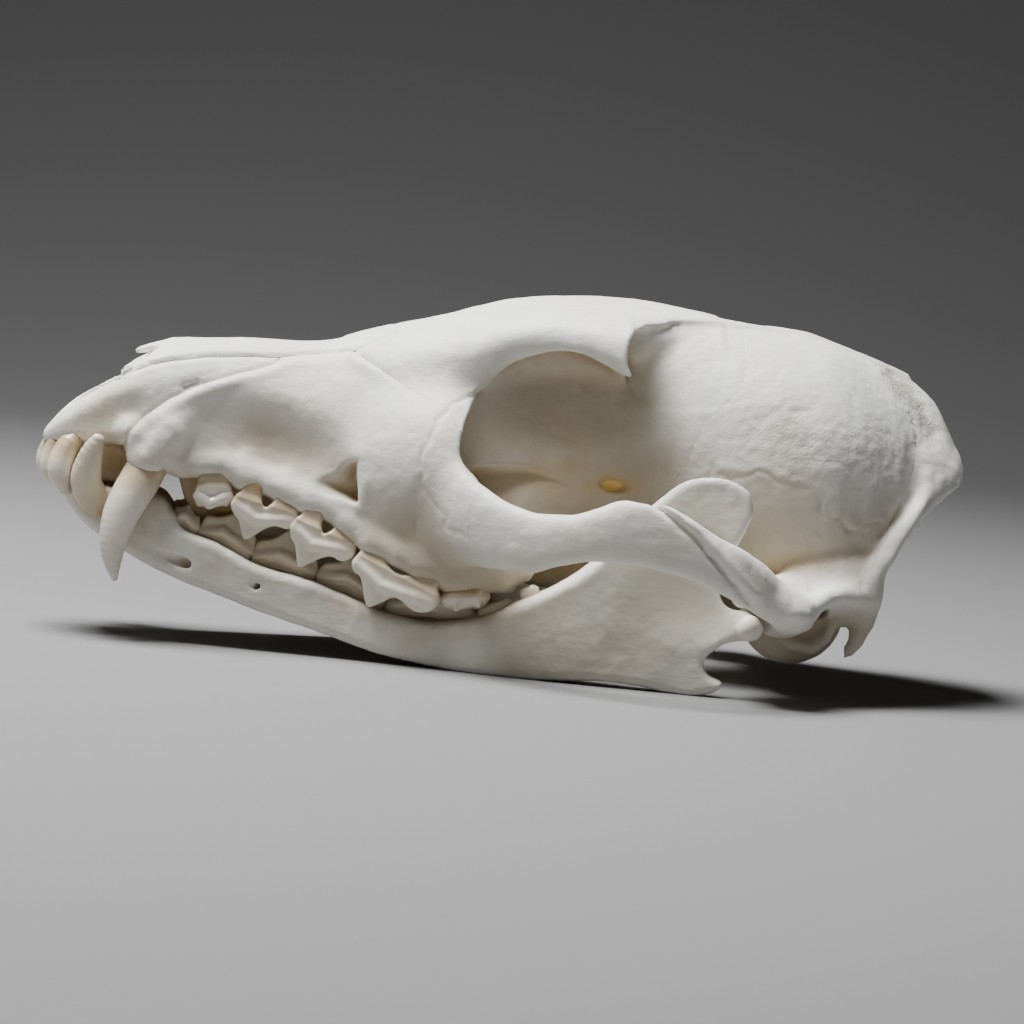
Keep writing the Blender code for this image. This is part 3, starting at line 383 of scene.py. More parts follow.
def shape_cheek(clay):
    """The bulge over the molars and the cheek in front of the eye socket."""
    clay.add(ball((-8, 14, 22.4), (11, 6.6, 6.5), turn=12), 3, (-24, 0, 10), (8, 26, 34))
    clay.add(ball((-14, 12.4, 35), (12, 8.6, 11), turn=32), 5, (-34, 0, 20), (4, 28, 52))
    for x, y, z in ((-22.8, 15.2, 26.6), (-15.4, 17.8, 22.9), (-9.6, 18.4, 20.9)):
        clay.add(rod([(x, y, z - 3), (x + 0.8, y - 1.2, z + 6)], (2.0, 0.9)), 2.2,
                 (x - 6, 8, z - 9), (x + 7, 25, z + 12))


# %% Eye socket
POCKET = curve((-10, 33.6), (-6, 35.4), (0.8, 35.4), (8.8, 32.8), (13.6, 29.8), (20, 27), (28, 24))
TEMPLE = rounded([
    (18.2, 48.6), (17.1, 51.2), (17.2, 54.0), (18.3, 55.8), (19.8, 56.5), (22.6, 57.3), (26.7, 57.8),
    (31.7, 57.6), (38, 56.8), (42, 50), (34, 45), (24, 44), (19.2, 46.4)], steps=4)


def shape_socket(clay):
    """The eye socket: a hollow whose edge is the rim from brow to cheek, and the temporal hollow."""
    clay.cut(ball((7.6, 27, 41), (15.4, 17.4, 12.2), tip=6), 1.2, (-12, 6, 26), (26, 44, 56))
    clay.add(rod([(13.5, 12, 53.5), (17.9, 17.4, 49.9)], (2.4, 0.9)), 2, (8, 6, 44), (24, 22, 60))

    def socket(x, y, z):
        flat = side_outline(RIM, x, z)
        wall = 9.4 + 0.1 * np.clip(4 - x, 0, 20) ** 1.5 + 0.55 * np.clip(x - 16, 0, 9)
        wall = wall + 0.012 * np.clip(44 - z, 0, 20) ** 2
        under = np.clip((POCKET(x) - z) / 1.7, 0, 1)
        deep = 1.3 + 0.14 * np.clip(2 - x, 0, 8)
        wall = wall - deep * under * under * (3 - 2 * under)
        return np.maximum(flat, (wall - y) * 0.8)

    clay.cut(socket, 0.5, (-12, 6, 22), (28, 42, 58))
    base = base_form()

    def temple(x, y, z):
        return np.maximum(side_outline(TEMPLE, x, z), 0.12 - base(x, y, z))

    clay.cut(temple, 0.6, (14, 2, 42), (46, 26, 62))
    clay.add(rod([(19.4, 8.2, 53.6), (22, 7.8, 54.7), (25.5, 6.1, 55.2), (30, 4.9, 55)],
                 (2.2, 2.6, 2.5, 2.2)), 2.6, (14, 0, 46), (38, 18, 62))
    clay.cut(rod([(-7.2, 19, 36.4), (-11, 16, 35.6)], (1.0, 0.7)), 0.3, (-13, 12, 32), (-4, 22, 40))
    clay.cut(rod([(8.4, 12, 36.9), (9.2, 9.6, 36.5)], (0.26, 0.2), squash=(1, 1, 0.6)), 0.2,
             (6, 5, 34), (13, 14, 40))
    clay.cut(ball((16, 10.4, 31.5), (2.7, 1.9, 1.35), tip=-12), 0.4, (11, 6, 28), (21, 14, 35))


# %% Cheekbone, jaw socket and canal
FORAMEN_EDGE = -24.9


def shape_arch(clay):
    """The zygomatic arch, the socket of the jaw joint and the infraorbital canal."""
    arch = loft(ARCH_TOP, lambda x: (ARCH_TOP(x) + ARCH_BOTTOM(x)) / 2, ARCH_BOTTOM, ARCH_HALF,
                upper=2.4, lower=2.4, centre=ARCH_CENTRE)
    clay.add(arch, 2.4, (-16, 6, 8), (44, 42, 42))
    clay.add(ball((38.6, 27, 13.9), (5.4, 10, 3.1), turn=-8, tip=-18), 2.4, (28, 12, 6), (50, 40, 24))
    clay.add(ball((39.2, 26.5, 12.5), (2.2, 6.5, 2.6), turn=-12), 1.8, (32, 16, 4), (46, 38, 18))
    clay.add(rod([(37.6, 33.8, 14.8), (41, 32, 13.3), (43.8, 30.2, 13.7), (46.6, 28.4, 15.2),
                  (49.6, 26.4, 15.5), (52.6, 24.6, 14.9), (55, 22.8, 14.2)],
                 (2.2, 1.9, 1.3, 1.05, 1.0, 1.0, 1.0)), 2.2, (30, 14, 6), (64, 42, 28))
    clay.add(rod([(37.6, 24.8, 14.2), (41, 24.4, 13.3), (45, 23, 13.7), (50, 21.4, 14.9),
                  (55.6, 19.2, 15.2)], (2.6, 3.0, 3.1, 2.8, 2.1)), 5.0, (26, 10, 4), (66, 40, 34))
    clay.add(rod([(42, 22.8, 15.6), (46, 21.9, 16.2), (50, 20.7, 17), (54, 19, 18.4),
                  (57, 18.2, 20.6)], (2.0, 2.4, 2.5, 2.5, 2.2)), 4.0, (30, 10, 6), (68, 36, 34))
    clay.cut(rod([(34.4, 20, 10.8), (34.4, 33.6, 10.6)], (3.5, 3.3)), 0.6, (28, 16, 2), (42, 41, 18))
    clay.add(rod([(-24.0, 14.6, 37), (-23.4, 15.4, 33), (-24.2, 15.0, 29)], (0.8, 1.1, 1.0)), 1.8,
             (-30, 10, 24), (-18, 20, 42))
    clay.cut(rod([(-36, 17.4, 35.2), (-29, 17.0, 33.6)], (2.2, 3.0)), 3.0, (-46, 8, 24), (-24, 26, 46))
    hollow = rod([(-31, 16.6, 33.9), (-28, 15.8, 33.3), (-23, 15.1, 32.8)], (2.2, 3.0, 3.6))
    clay.cut(lambda x, y, z: np.maximum(hollow(x, y, z), x - FORAMEN_EDGE), 0.5,
             (-42, 8, 24), (-20, 24, 42))
    clay.cut(rod([(-30, 13.6, 32.4), (-14, 12.6, 29)], (2.0, 1.5), squash=(1, 1.3, 1)), 0.5,
             (-34, 8, 24), (-10, 20, 38))


# %% Palate, wings, ear and condyles
def shape_base(clay):
    """Palate vault, wings behind the palate, ear bulla, processes and condyle."""
    wings = loft(lambda x: 0 * x + 32, lambda x: 0 * x + 22,
                 curve((-2, 16.6), (6, 14.6), (13, 12.6), (18.5, 10.4), (22, 12.5)),
                 curve((-2, 9.5), (4, 8), (10, 7.4), (18, 7), (22, 6.6)), lower=5.0)
    clay.add(wings, 1.5, (-2, 0, 8), (22, 14, 34))
    roof = curve((2, 18), (5, 22.5), (12, 21.5), (20, 18.5), (30, 14.6), (38, 12))
    clay.cut(loft(roof, lambda x: roof(x) - 9, lambda x: roof(x) - 30,
                  curve((2, 4.2), (10, 4.8), (22, 4.8), (38, 3)), upper=4.0),
             0.6, (2, 0, 1), (38, 8, 26))
    vault = curve((-70, 40.4), (-60, 39.4), (-46, 35.2), (-34, 30.7), (-24, 26), (-14, 20.5), (2, 19.6))
    clay.cut(loft(vault, lambda x: BOTTOM(x) - 2, lambda x: BOTTOM(x) - 9,
                  curve((-70, 3), (-62, 6), (-50, 5.6), (-38, 6.4), (-26, 9), (-14, 12.2), (2, 11))),
             0.8, (-70, 0, 8), (2, 14, 44))
    wall = rounded([(-69, 40), (-68, 35.8), (-66, 33.2), (-62, 32.1), (-57.4, 32), (-55.2, 33.2),
                    (-53.9, 34.0), (-52.8, 33.2), (-51.9, 29.6), (-50.6, 26.8), (-47, 25.0),
                    (-44, 24), (-36, 22.2), (-30, 21), (-26, 20.2), (-24, 26), (-34, 31), (-44, 36),
                    (-52, 38), (-60, 41)], steps=2)
    inward = curve((-70, 3.2), (-63, 3.8), (-57, 4.6), (-50, 4.6), (-40, 4.8), (-24, 7))
    clay.add(plate(wall, lambda x, z: inward(x) + 0 * z,
                   lambda x, z: 0.8 + 0 * x, edge=0.6), 0.6, (-71, 2, 19), (-22, 12, 44))
    gums = [(-60, 9.3, 40.8), (-52, 8.9, 35.4), (-45.8, 8.9, 35.4), (-40, 9.4, 33.1), (-33.8, 10.3, 30.7),
            (-27.6, 12.2, 28.2), (-23.8, 14.2, 25.1), (-18.5, 16.8, 21.9), (-10.8, 18, 18.7),
            (-2.9, 16.4, 18.2), (0.6, 14.8, 18.9)]
    clay.add(rod(gums, (2.5, 2.3, 2.1, 2.2, 2.4, 2.5, 2.5, 2.6, 2.8, 2.8, 2.2)), 1.2,
             (-66, 4, 10), (6, 24, 46))
    clay.add(ball((43.9, 14.4, 11.2), (8.3, 7.2, 7.7), turn=-14), 1.2, (32, 2, 1), (56, 26, 22))
    clay.add(rod([(39.2, 19.6, 9.8), (42.9, 21.0, 7.3), (46.0, 21.2, 6.7), (48.2, 21.4, 8.4),
                  (49.2, 21.6, 10.6), (50.8, 21.8, 12.4)], (0.9, 1.1, 1.1, 1.0, 1.0, 1.2)), 1.4,
             (34, 12, 2), (58, 30, 20))
    clay.cut(ball((44.2, 24.2, 10.6), (3.6, 3.4, 2.1), tip=-24), 1.6, (36, 14, 4), (52, 34, 18))
    clay.add(ball((52.5, 20.5, 15), (4.6, 3.6, 5.4)), 2, (44, 14, 5), (62, 28, 26))
    clay.cut(rod([(50.6, 24.6, 11), (50.1, 23.0, 8.4), (49.7, 20.6, 5.6)], (0.8, 0.9, 0.8)), 0.8,
             (44, 14, 2), (56, 30, 18))
    clay.cut(rod([(46.4, 19, 12.6), (46.6, 30, 12.2)], (1.1, 1.3)), 0.4, (40, 18, 7), (54, 32, 19))
    clay.add(ball((55.6, 8.8, 13.4), (3.0, 4.4, 4.4), turn=-25), 1.5, (50, 2, 6), (64, 18, 22))
    clay.add(rod([(55, 19.8, 15), (54.1, 20.8, 10.8), (53.0, 21, 7.6), (51.9, 20.8, 6.0),
                  (50.8, 20.6, 5.3)], (2.8, 2.0, 1.3, 0.9, 0.5)), 1.0, (46, 12, 2), (62, 27, 22))


# %% Back of the skull
def shape_occiput(clay):
    """The flaring crest round the back of the skull, hollowed from behind, and the foramen."""
    rim = curve((0, 55), (12, 56.4), (20, 58), (25, 62.6), (28, 67.2), (30, 70.2), (31.5, 72.4),
                (34, 73.5), (37, 72.9), (40, 71.8), (44, 69.8), (47, 67.4), (50, 76), (64, 90))
    floor = curve((0, 56), (12, 56.6), (18, 58), (22, 60.6), (26, 63), (30, 65.6), (34, 67.8),
                  (38, 68.2), (42, 66.6), (46, 64.4), (50, 76), (64, 90))
    crest = [(73, 0, 35.4), (71.8, 4.6, 35), (70.4, 8.4, 33.2), (67, 12.8, 30.2), (62.4, 17.6, 27),
             (58.6, 20.6, 23.4), (56, 22.2, 19.4), (53.6, 22.6, 15)]
    clay.add(rod(crest, 6 * [1.5] + [1.7, 2.0]), 1.2, (50, 0, 10), (78, 28, 52))
    clay.cut(lambda x, y, z: (rim(z) - x) * 0.8 + 0 * y, 0.5, (52, 0, 1), (78, 42, 50))
    spans, x, y, z = clay.window((56, 0, 12), (78, 26, 50))
    within = clay.field[spans] + 1.9
    bulge = 1.6 * np.exp(-(y / 4.5) ** 2) * np.clip((40 - z) / 8, 0, 1)
    hollow = np.maximum(within, (floor(z) + bulge - x) * 0.8)
    clay.field[spans] = -blend_in(-clay.field[spans], hollow, 0.6)
    clay.cut(rod([(42, 0, 17.2), (64, 0, 16.8)], (4.2, 5.2), squash=(1, 0.82, 1)), 0.8,
             (42, 0, 8), (66, 10, 26))


# %% Nose and canine bulge
def shape_nose(clay):
    """The nasal opening, under the overhanging tips of the nasal bones."""
    roof = curve((-76, 60), (-60.6, 60), (-59.4, 51.4), (-54, 52.8), (-44, 52))
    floor = curve((-76, 41.6), (-70, 41.6), (-60, 42.2), (-44, 44))
    inside = curve((-76, 2.4), (-73, 3.0), (-69, 4.6), (-63, 6.8), (-56, 7.8), (-48, 6.2), (-44, 3))
    clay.cut(loft(roof, lambda x: floor(x) + 4, floor, inside, upper=4.5), 0.5,
             (-76, 0, 38), (-44, 12, 62))
    clay.cut(lambda x, y, z: x + 74 + 0 * (y + z), 0.8, (-77, 0, 30), (-70, 12, 50))
    clay.cut(ball((-60.6, 0, 53), (3.4, 2.4, 4)), 0.5, (-66, 0, 46), (-54, 6, 60))
    clay.cut(lambda x, y, z: (52.7 - z) * 0.815 + (x + 56.4) * 0.58 + 0 * y, 0.2,
             (-62.4, 0, 47), (-53, 10, 58))
    clay.add(rod([(-61.7, 5.4, 49.2), (-58.6, 6.4, 50.6), (-54, 6.7, 51.9)], (0.4, 0.7, 0.7)), 0.8,
             (-66, 0, 46), (-50, 12, 56))
    clay.add(rod([(-53.5, 1.6, 54.0), (-57, 1.9, 53.5), (-59, 2.1, 53.0)], (0.8, 0.6, 0.35)), 0.6,
             (-62, 0, 48), (-50, 8, 58))


# %% Temporal line and crest
def shape_muscle_marks(clay):
    """The ridges that the chewing muscle left from the brow to the crest."""
    ridge = [(23.4, 8.2, 57.4), (25.6, 7.0, 57.5), (28.5, 7.2, 57.0), (32, 6.6, 56.9), (38, 5.2, 56.3),
             (48, 3.5, 54.8), (58, 1.4, 51.0), (65, 0, 48.0)]
    clay.add(rod(ridge, (0.35, 0.45, 0.5, 0.5, 0.5, 0.6, 0.7, 0.7)), 1.4, (16, 0, 44), (70, 20, 62))


# %% Put the upper skull together
def skull_clay(cell):
    """The whole upper skull as one solid, left and right alike."""
    clay = Clay((-77, 0, 1), (77, 42, 64), cell)
    clay.add(base_form())
    clay.add(loft(lambda x: TOP(x) - BROW_DROP, BROW_WIDEST, BROW_BOTTOM, BROW_HALF, upper=2.4), 3,
             (-26, 0, 38), (34, 22, 64))
    for step in (shape_cheek, shape_muzzle, shape_socket, shape_arch, shape_base, shape_occiput,
                 shape_nose, shape_muscle_marks):
        step(clay)
    return clay.mirrored()


skull = skull_clay(BONE_CELL)
print("samples in the upper skull:", skull.field.shape)

# %% [markdown]
# ## Surface of the bone
#
# Old bone is never smooth. It swells and sinks by tenths of a millimetre where vessels and muscle
# lay, it is pitted where muscle was tied to it, and closed sutures run over it as fine grooves.
# A bump map would show them only in the light, so they are pressed into the clay itself. Noise
# comes from a lattice of random numbers, spread smoothly over the block.

# %% Grooves, swellings and pits
def groove(clay, line, depth, width, waver, seed, low, high, side=None, axes="xz"):
    """Press a wavering groove that follows a line, seen from the side or from above."""
    spans, x, y, z = clay.window(low, high)
    wobble = clay.noise(1.7, seed, low, high) * waver
    wobble_too = clay.noise(2.3, seed + 7, low, high) * waver
    across, up = (x, z) if axes == "xz" else (x, y)
    near = np.abs(clay.field[spans]) < 2.0
    across, up = (np.broadcast_to(v, near.shape)[near] for v in (across, up))
    away = line_distance(line, across + wobble[near], up + wobble_too[near])
    dent = depth * np.exp(-(away / width) ** 2)
    if side:
        dent = dent * (np.abs(np.broadcast_to(y, near.shape)[near]) > side)
    clay.field[spans][near] += dent


SWELL, RIPPLE, PIT = 0.16, 0.05, 0.07


def weather(clay, seed):
    """Soft swellings, small ripples and scattered pits all over."""
    clay.field -= SWELL * clay.noise(6.5, seed) + SWELL * 0.5 * clay.noise(3.1, seed + 1)
    clay.field -= RIPPLE * clay.noise(1.25, seed + 2)
    clay.field += PIT * np.clip(clay.noise(0.95, seed + 3) * 3 - 1.5, 0, 1)


weather(skull, 11)
print("surface weathered")

# %% Sutures and muscle scars on the skull
JUGAL_SEAM = [(15.8, 31.9), (18.3, 30.9), (20.4, 29.2), (23.9, 26.3), (28.6, 21), (32.9, 16)]
SQUAMOSAL_SEAM = [(27, 29), (29, 32.6), (31.6, 34.4), (34.2, 33.7), (36.6, 34.2), (39.3, 33.7),
                  (41.9, 32.5), (45.4, 31.4), (47.8, 28.8), (50.1, 26.5), (53, 24.9), (57.1, 25.7)]
LACRIMAL_SEAM = [(-5.2, 47), (-9.5, 45), (-13, 42), (-15, 38), (-15.2, 33.5), (-14, 30.7),
                 (-10.5, 25.9), (-5.2, 22.9)]
SMALL_SLIT = [(-51.6, 47.5), (-49.6, 48.2)]
NUCHAL_GROOVE = [(63.9, 37.2), (62.4, 32), (59.4, 26.4), (55.4, 20)]
CREST_BAND = [(61.6, 48.3), (63.2, 46.9), (64.9, 45), (66.4, 42.9)]
NUCHAL_SWELLING = [(66.6, 35.6), (67.4, 32.6), (64.6, 28.6)]
MIDLINE = [(-90, 0), (66, 0)]
VESSEL_GROOVE = [(43.2, 47.5), (41, 44.6), (38.6, 42.6), (36.1, 39.4), (34.4, 37.6)]


def moved(line, dx, dz):
    """A line beside another."""
    return [(x + dx, z + dz) for x, z in line]


groove(skull, JUGAL_SEAM, 0.85, 0.42, 0.3, 3, (12, -42, 12), (38, 42, 36), side=30)
groove(skull, moved(JUGAL_SEAM, 0.9, 1.1), -0.55, 0.9, 0.2, 4, (12, -42, 12), (40, 42, 38), side=30)
groove(skull, SQUAMOSAL_SEAM, 0.17, 0.32, 1.2, 5, (22, -26, 16), (62, 26, 42), side=12)
groove(skull, moved(SQUAMOSAL_SEAM, 0.3, 1.0), -0.13, 0.9, 1.2, 6, (22, -26, 16), (62, 26, 42), side=12)
groove(skull, LACRIMAL_SEAM, 0.22, 0.28, 0.8, 8, (-20, -26, 18), (-2, 26, 50), side=9)
groove(skull, SMALL_SLIT, 0.5, 0.4, 0.1, 18, (-56, -13, 43), (-44, 13, 52), side=5)
groove(skull, NUCHAL_GROOVE, 0.3, 1.4, 0.4, 14, (52, -28, 12), (72, 28, 44), side=1.5)
groove(skull, moved(NUCHAL_GROOVE[1:], 3.4, 0.6), -0.45, 1.4, 0.5, 15, (56, -28, 12), (76, 28, 40),
       side=1.5)
groove(skull, CREST_BAND + [(67.5, 40.8), (68.1, 39.2)], 0.55, 1.25, 0.5, 19, (56, -24, 34), (74, 24, 52),
       side=2)
groove(skull, NUCHAL_SWELLING, -0.5, 2.4, 0.5, 20, (56, -26, 22), (76, 26, 42), side=3)
groove(skull, MIDLINE, 0.24, 0.28, 0.5, 13, (-60, -3, 52), (64, 3, 64), axes="xy")
groove(skull, VESSEL_GROOVE, 0.07, 0.25, 0.7, 22, (30, -28, 34), (48, 28, 52), side=9)
print("sutures pressed in")


# %% Rough places
def roughen(clay, centre, reach, amount, size, seed):
    """Rough up the surface round a centre on both sides, fading out over the reach."""
    low = (centre[0] - 2 * reach[0], -45, centre[2] - 2 * reach[2])
    high = (centre[0] + 2 * reach[0], 45, centre[2] + 2 * reach[2])
    spans, x, y, z = clay.window(low, high)
    away = ((x - centre[0]) / reach[0]) ** 2 + ((np.abs(y) - centre[1]) / reach[1]) ** 2
    fade = np.exp(-(away + ((z - centre[2]) / reach[2]) ** 2))
    relief = clay.noise(size, seed, low, high) + 0.6 * clay.noise(size * 0.47, seed + 1, low, high)
    clay.field[spans] -= fade * amount * relief


ROUGH_PLACES = [
    ((44, 22, 40), (14, 14, 9), 0.1, 1.1, 21),
    ((58, 16, 38), (7, 14, 12), 0.07, 0.9, 23),
    ((66, 10, 43), (4, 9, 5), 0.14, 0.8, 25),
    ((36, 8, 54), (16, 8, 5), 0.10, 1.8, 27),
    ((-55, 10, 37), (7, 6, 4), 0.10, 1.0, 29)]
for rough_place in ROUGH_PLACES:
    roughen(skull, *rough_place)
print("rough places made:", len(ROUGH_PLACES))

# %% [markdown]
# ## The lower jaw
#
# Each half of the lower jaw is a curved plate: deep under the cheek teeth, thin and wide where
# the chewing muscle took hold, with the hooked angular process behind. It swings outwards to
# reach the joint. The muscle's hollow has a raised edge in front.

# %% Lines of the lower jaw
JAW_OUTLINE = rounded([
    (-70.6, 31.6), (-69.6, 28.6), (-65, 24.2), (-56, 18.7), (-48, 15.3), (-40, 12.3), (-24, 6.6),
    (-16, 4.4), (-8.4, 2.9), (-1, 2.2), (5, 2.2), (12, 2.3), (18, 1.4), (22.5, 0.3), (26.5, -0.1),
    (30, 0.8), (30.8, 2.3), (28.6, 3.6), (28.2, 5.8), (31, 8), (34.4, 9), (36, 10.8), (34.6, 13),
    (31.4, 14.4), (30.6, 18.5), (32.6, 23), (35.2, 28.4), (34.4, 32.3), (30.5, 34.3), (25, 33.6),
    (20.5, 30.1), (15, 24.6), (10, 19.9), (5, 16.8), (0, 14.4), (-5, 12.2), (-12, 11), (-20, 12),
    (-27, 15.2), (-32, 17.2), (-40, 19.4), (-47, 23.1), (-51.8, 25.2), (-53.2, 28), (-55.4, 30.6),
    (-61, 31.4), (-66, 32.2), (-69.4, 32.6)])
JAW_SWING = curve((-72, 3.0), (-66, 4.3), (-60, 4.5), (-54, 5.7), (-45, 8.6), (-35, 10.5), (-25, 12.4),
                  (-15, 14.8), (-5, 17.6), (5, 20.6), (15, 23.4), (25, 25.4), (36, 28))
JAW_THICK = curve((-72, 2.8), (-66, 4.1), (-60, 4.2), (-54, 4.2), (-46, 3.2), (-35, 2.9), (-15, 3.1),
                  (0, 3.1), (8, 2.7), (16, 2.0), (26, 1.7), (36, 1.6))
JAW_GAP = 0.3


# %% Shape one half of the jaw
def jaw_clay(cell):
    """The right half of the lower jaw."""
    clay = Clay((-73, 0, -2), (40, 38, 37), cell)
    clay.add(plate(JAW_OUTLINE, lambda x, z: JAW_SWING(x) + 0.05 * np.maximum(z - 14, 0),
                   lambda x, z: JAW_THICK(x) - 1.1 * np.clip((z - 24) / 8, 0, 1), edge=1.4))
    clay.add(rod([(34.1, 24, 11), (34.2, 31.8, 11.2)], (2.0, 2.0)), 1.2, (26, 18, 4), (40, 38, 18))
    clay.cut(ball((23, 30, 17), (11, 4.6, 10.5), tip=24), 1.2, (8, 20, 2), (40, 38, 32))
    clay.cut(lambda x, y, z: y - JAW_GAP / 2 + 0 * (x + z), 0, (-73, 0, -2), (-46, 3, 37))
    clay.cut(rod([(-57.6, 10.4, 22.3), (-54.6, 10.5, 21.0), (-51.4, 9.9, 19.9)], (0.4, 0.85, 0.8)), 0.6,
             (-62, 6, 15), (-46, 16, 26))
    clay.cut(rod([(-41.6, 12.9, 16.6), (-39.4, 11.2, 16.2)], (0.4, 0.75)), 0.5,
             (-45, 8, 13), (-36, 16, 20))
    return clay


# %% [markdown]
# ## Teeth
#
# A fox has thin, high, pointed teeth: six small incisors above and below, long slim canines,
# premolars like little sails with a gap between their two roots, and one large shearing tooth in
# each row. Each tooth gets a block of clay of its own, finer than the bone's. A premolar or a
# shearing tooth is a thin blade cut to an outline. The crown of a molar is a fan of cones from its
# base to each cusp.

# %% Where the teeth stand
# A molar has its front end, rear end and width, and each cusp's place, height and shift outwards.
UPPER_MOLARS = [
    ((-12.0, 17.2, 15.5), (-4.8, 16.2, 15.6), 5.8,
     [(0.28, 2.5, 2.6), (0.78, 2.1, 2.3), (0.4, 1.2, -3.4)]),
    ((-3.9, 14.8, 16.3), (-0.4, 14.2, 17.3), 4.0, [(0.3, 1.3, 1.6), (0.5, 0.8, -1.8)])]
LOWER_MOLARS = [
    ((-5.8, 15.2, 11.2), (-0.4, 17.0, 13.0), 3.6, [(0.35, 1.2, 0.8), (0.7, 0.9, 0)]),
    ((0.6, 17.8, 14.4), (3.2, 18.8, 15.7), 2.6, [(0.5, 0.9, 0)])]

# Canines and incisors run from the root to the tip.
UPPER_CANINE = [(-53, 7.6, 42.4), (-56.6, 9.4, 36.8), (-58.9, 10.5, 32.8), (-61.2, 11.4, 29),
                (-62.6, 11.9, 25.2), (-63.1, 12.1, 22), (-63, 12.2, 19.4), (-62.8, 12.2, 18)]
UPPER_CANINE_RADII = (2.3, 3.1, 3.15, 2.95, 2.45, 1.8, 1.05, 0.55)
LOWER_CANINE = [(-60.8, 5.9, 25.2), (-65.6, 7.4, 29.4), (-67.1, 8.4, 33.0), (-66.3, 9.6, 36.9),
                (-65.5, 10.2, 38.8), (-65.25, 10.35, 39.4)]
LOWER_CANINE_RADII = (1.8, 2.55, 2.5, 1.9, 1.32, 1.05)
UPPER_INCISORS = [
    [(-70.4, 1.4, 40.0), (-72.8, 1.6, 38.6), (-73.8, 1.6, 35.6), (-73.3, 1.6, 33.4)],
    [(-69.6, 3.8, 40.0), (-71.8, 4.3, 38.4), (-72.9, 4.5, 35.0), (-72.3, 4.5, 32.6)],
    [(-67.8, 5.8, 40.1), (-70.0, 6.6, 38.2), (-71.3, 7.3, 34.6), (-70.5, 7.4, 31.4)]]
LOWER_INCISORS = [
    [(-64, 1.2, 26), (-69.4, 1.3, 31.4), (-71.2, 1.35, 34.4), (-71.5, 1.35, 35.8)],
    [(-63.6, 3.0, 26), (-68.6, 3.5, 31.4), (-70.3, 3.7, 34.4), (-70.6, 3.7, 35.8)],
    [(-63, 4.6, 26), (-67.3, 5.6, 31.6), (-68.9, 6.0, 34.2), (-69.1, 6.1, 35.4)]]

# A premolar has its front end, rear end, width and height, the place of its cusp, the heights of
# its two shoulders, and how far up the notch between its roots goes.
UPPER_BLADES = [
    ((-50.0, 9.4, 31.9), (-44.4, 9.4, 31.7), 3.0, 3.4, 0.45, 3.0, 2.9, -2.8),
    ((-43.8, 10.1, 30.6), (-33.9, 11.1, 27.5), 3.4, 6.3, 0.32, 2.7, 2.7, 0.35),
    ((-34.4, 11.7, 27.0), (-24.9, 13.8, 22.8), 3.6, 6.9, 0.32, 3.0, 3.2, 0.35)]
LOWER_BLADES = [
    ((-54.3, 7.2, 25.8), (-50.0, 7.4, 24.2), 2.6, 4.2, 0.45, 3.0, 2.8, -0.6),
    ((-49.9, 7.4, 23.9), (-41.4, 8.0, 20.4), 3.0, 6.4, 0.58, 3.7, 3.5, -0.4),
    ((-41.3, 8.2, 20.1), (-31.3, 9.4, 17.1), 3.1, 6.9, 0.48, 3.4, 3.1, -0.4),
    ((-31.2, 9.8, 17.0), (-20.8, 11.4, 12.9), 3.3, 6.4, 0.42, 3.2, 3.1, -0.4)]


# %% Smooth paths for the horns
def smooth_path(path, radii):
    """Four times the points and radii along an open chain, for a tooth without corners."""
    path = np.array(path, float)
    length = np.concatenate([[0], np.cumsum(np.linalg.norm(np.diff(path, axis=0), axis=1))])
    along = np.linspace(0, length[-1], (len(path) - 1) * 4 + 1)
    lines = [curve(*zip(length, column))(along) for column in (*path.T, radii)]
    return list(zip(*lines[:3])), list(lines[3])


def curved_tooth(path, radii, squash):
    """A canine or an incisor: one curved, tapering horn."""
    path, radii = smooth_path(path, radii)
    low = np.min(path, axis=0) - max(radii) - 3 * TOOTH_CELL
    high = np.max(path, axis=0) + max(radii) + 3 * TOOTH_CELL
    clay = Clay(low, high, TOOTH_CELL)
    clay.add(rod(path, radii, squash))
    return clay, np.array(path[len(path) // 3]), np.array(path[-1])


# %% A blade: premolars and the two shearing teeth
def sail(length, tall, share, front, rear, notch):
    """The side outline of a premolar: a cusp between two shoulders, on two roots."""
    over = tall - front
    past = 1 - share
    shape = [(0.0, 0.0), (-0.01, 0.6 * front), (0.04, front), (0.45 * share, front + 0.25 * over),
             (0.78 * share, front + 0.75 * over), (share, tall), (share + 0.16 * past, 0.86 * tall),
             (share + 0.36 * past, rear + 0.3 * (tall - rear)), (share + 0.58 * past, rear),
             (share + 0.82 * past, 1.02 * rear), (1.0, 0.6 * rear), (0.99, -0.3), (0.93, -1.1),
             (0.88, -3.0), (0.66, -3.0), (0.56, min(notch, -0.6)), (0.48, notch),
             (0.4, min(notch, -0.6)), (0.33, -3.0), (0.1, -3.0), (0.05, -1.0)]
    return [(length * s, h) for s, h in shape]


# The outlines of the shearing teeth: the place along the tooth, and the height.
UPPER_SHEAR = [(0, 0), (-0.01, 1.6), (0.05, 2.8), (0.12, 2.9), (0.2, 4.2), (0.29, 6.0), (0.35, 6.6),
               (0.43, 5.6), (0.54, 3.5), (0.64, 3.3), (0.8, 3.8), (0.93, 3.1), (1.0, 1.6), (0.99, 0),
               (0.93, -1.1), (0.9, -3), (0.68, -3), (0.6, -1.1), (0.45, -0.3), (0.31, -1.2),
               (0.27, -3), (0.05, -3), (0.01, -1)]
LOWER_SHEAR = [(0, 0), (0.01, 1.6), (0.08, 3.2), (0.14, 3.7), (0.21, 3.2), (0.28, 2.6), (0.34, 3.1),
               (0.41, 3.9), (0.48, 3.2), (0.56, 1.8), (0.7, 1.3), (0.86, 1.5), (0.97, 1.1), (1.0, 0),
               (0.95, -1.1), (0.92, -3), (0.68, -3), (0.6, -1.1), (0.48, -0.3), (0.34, -1.1),
               (0.3, -3), (0.06, -3), (0.02, -1)]
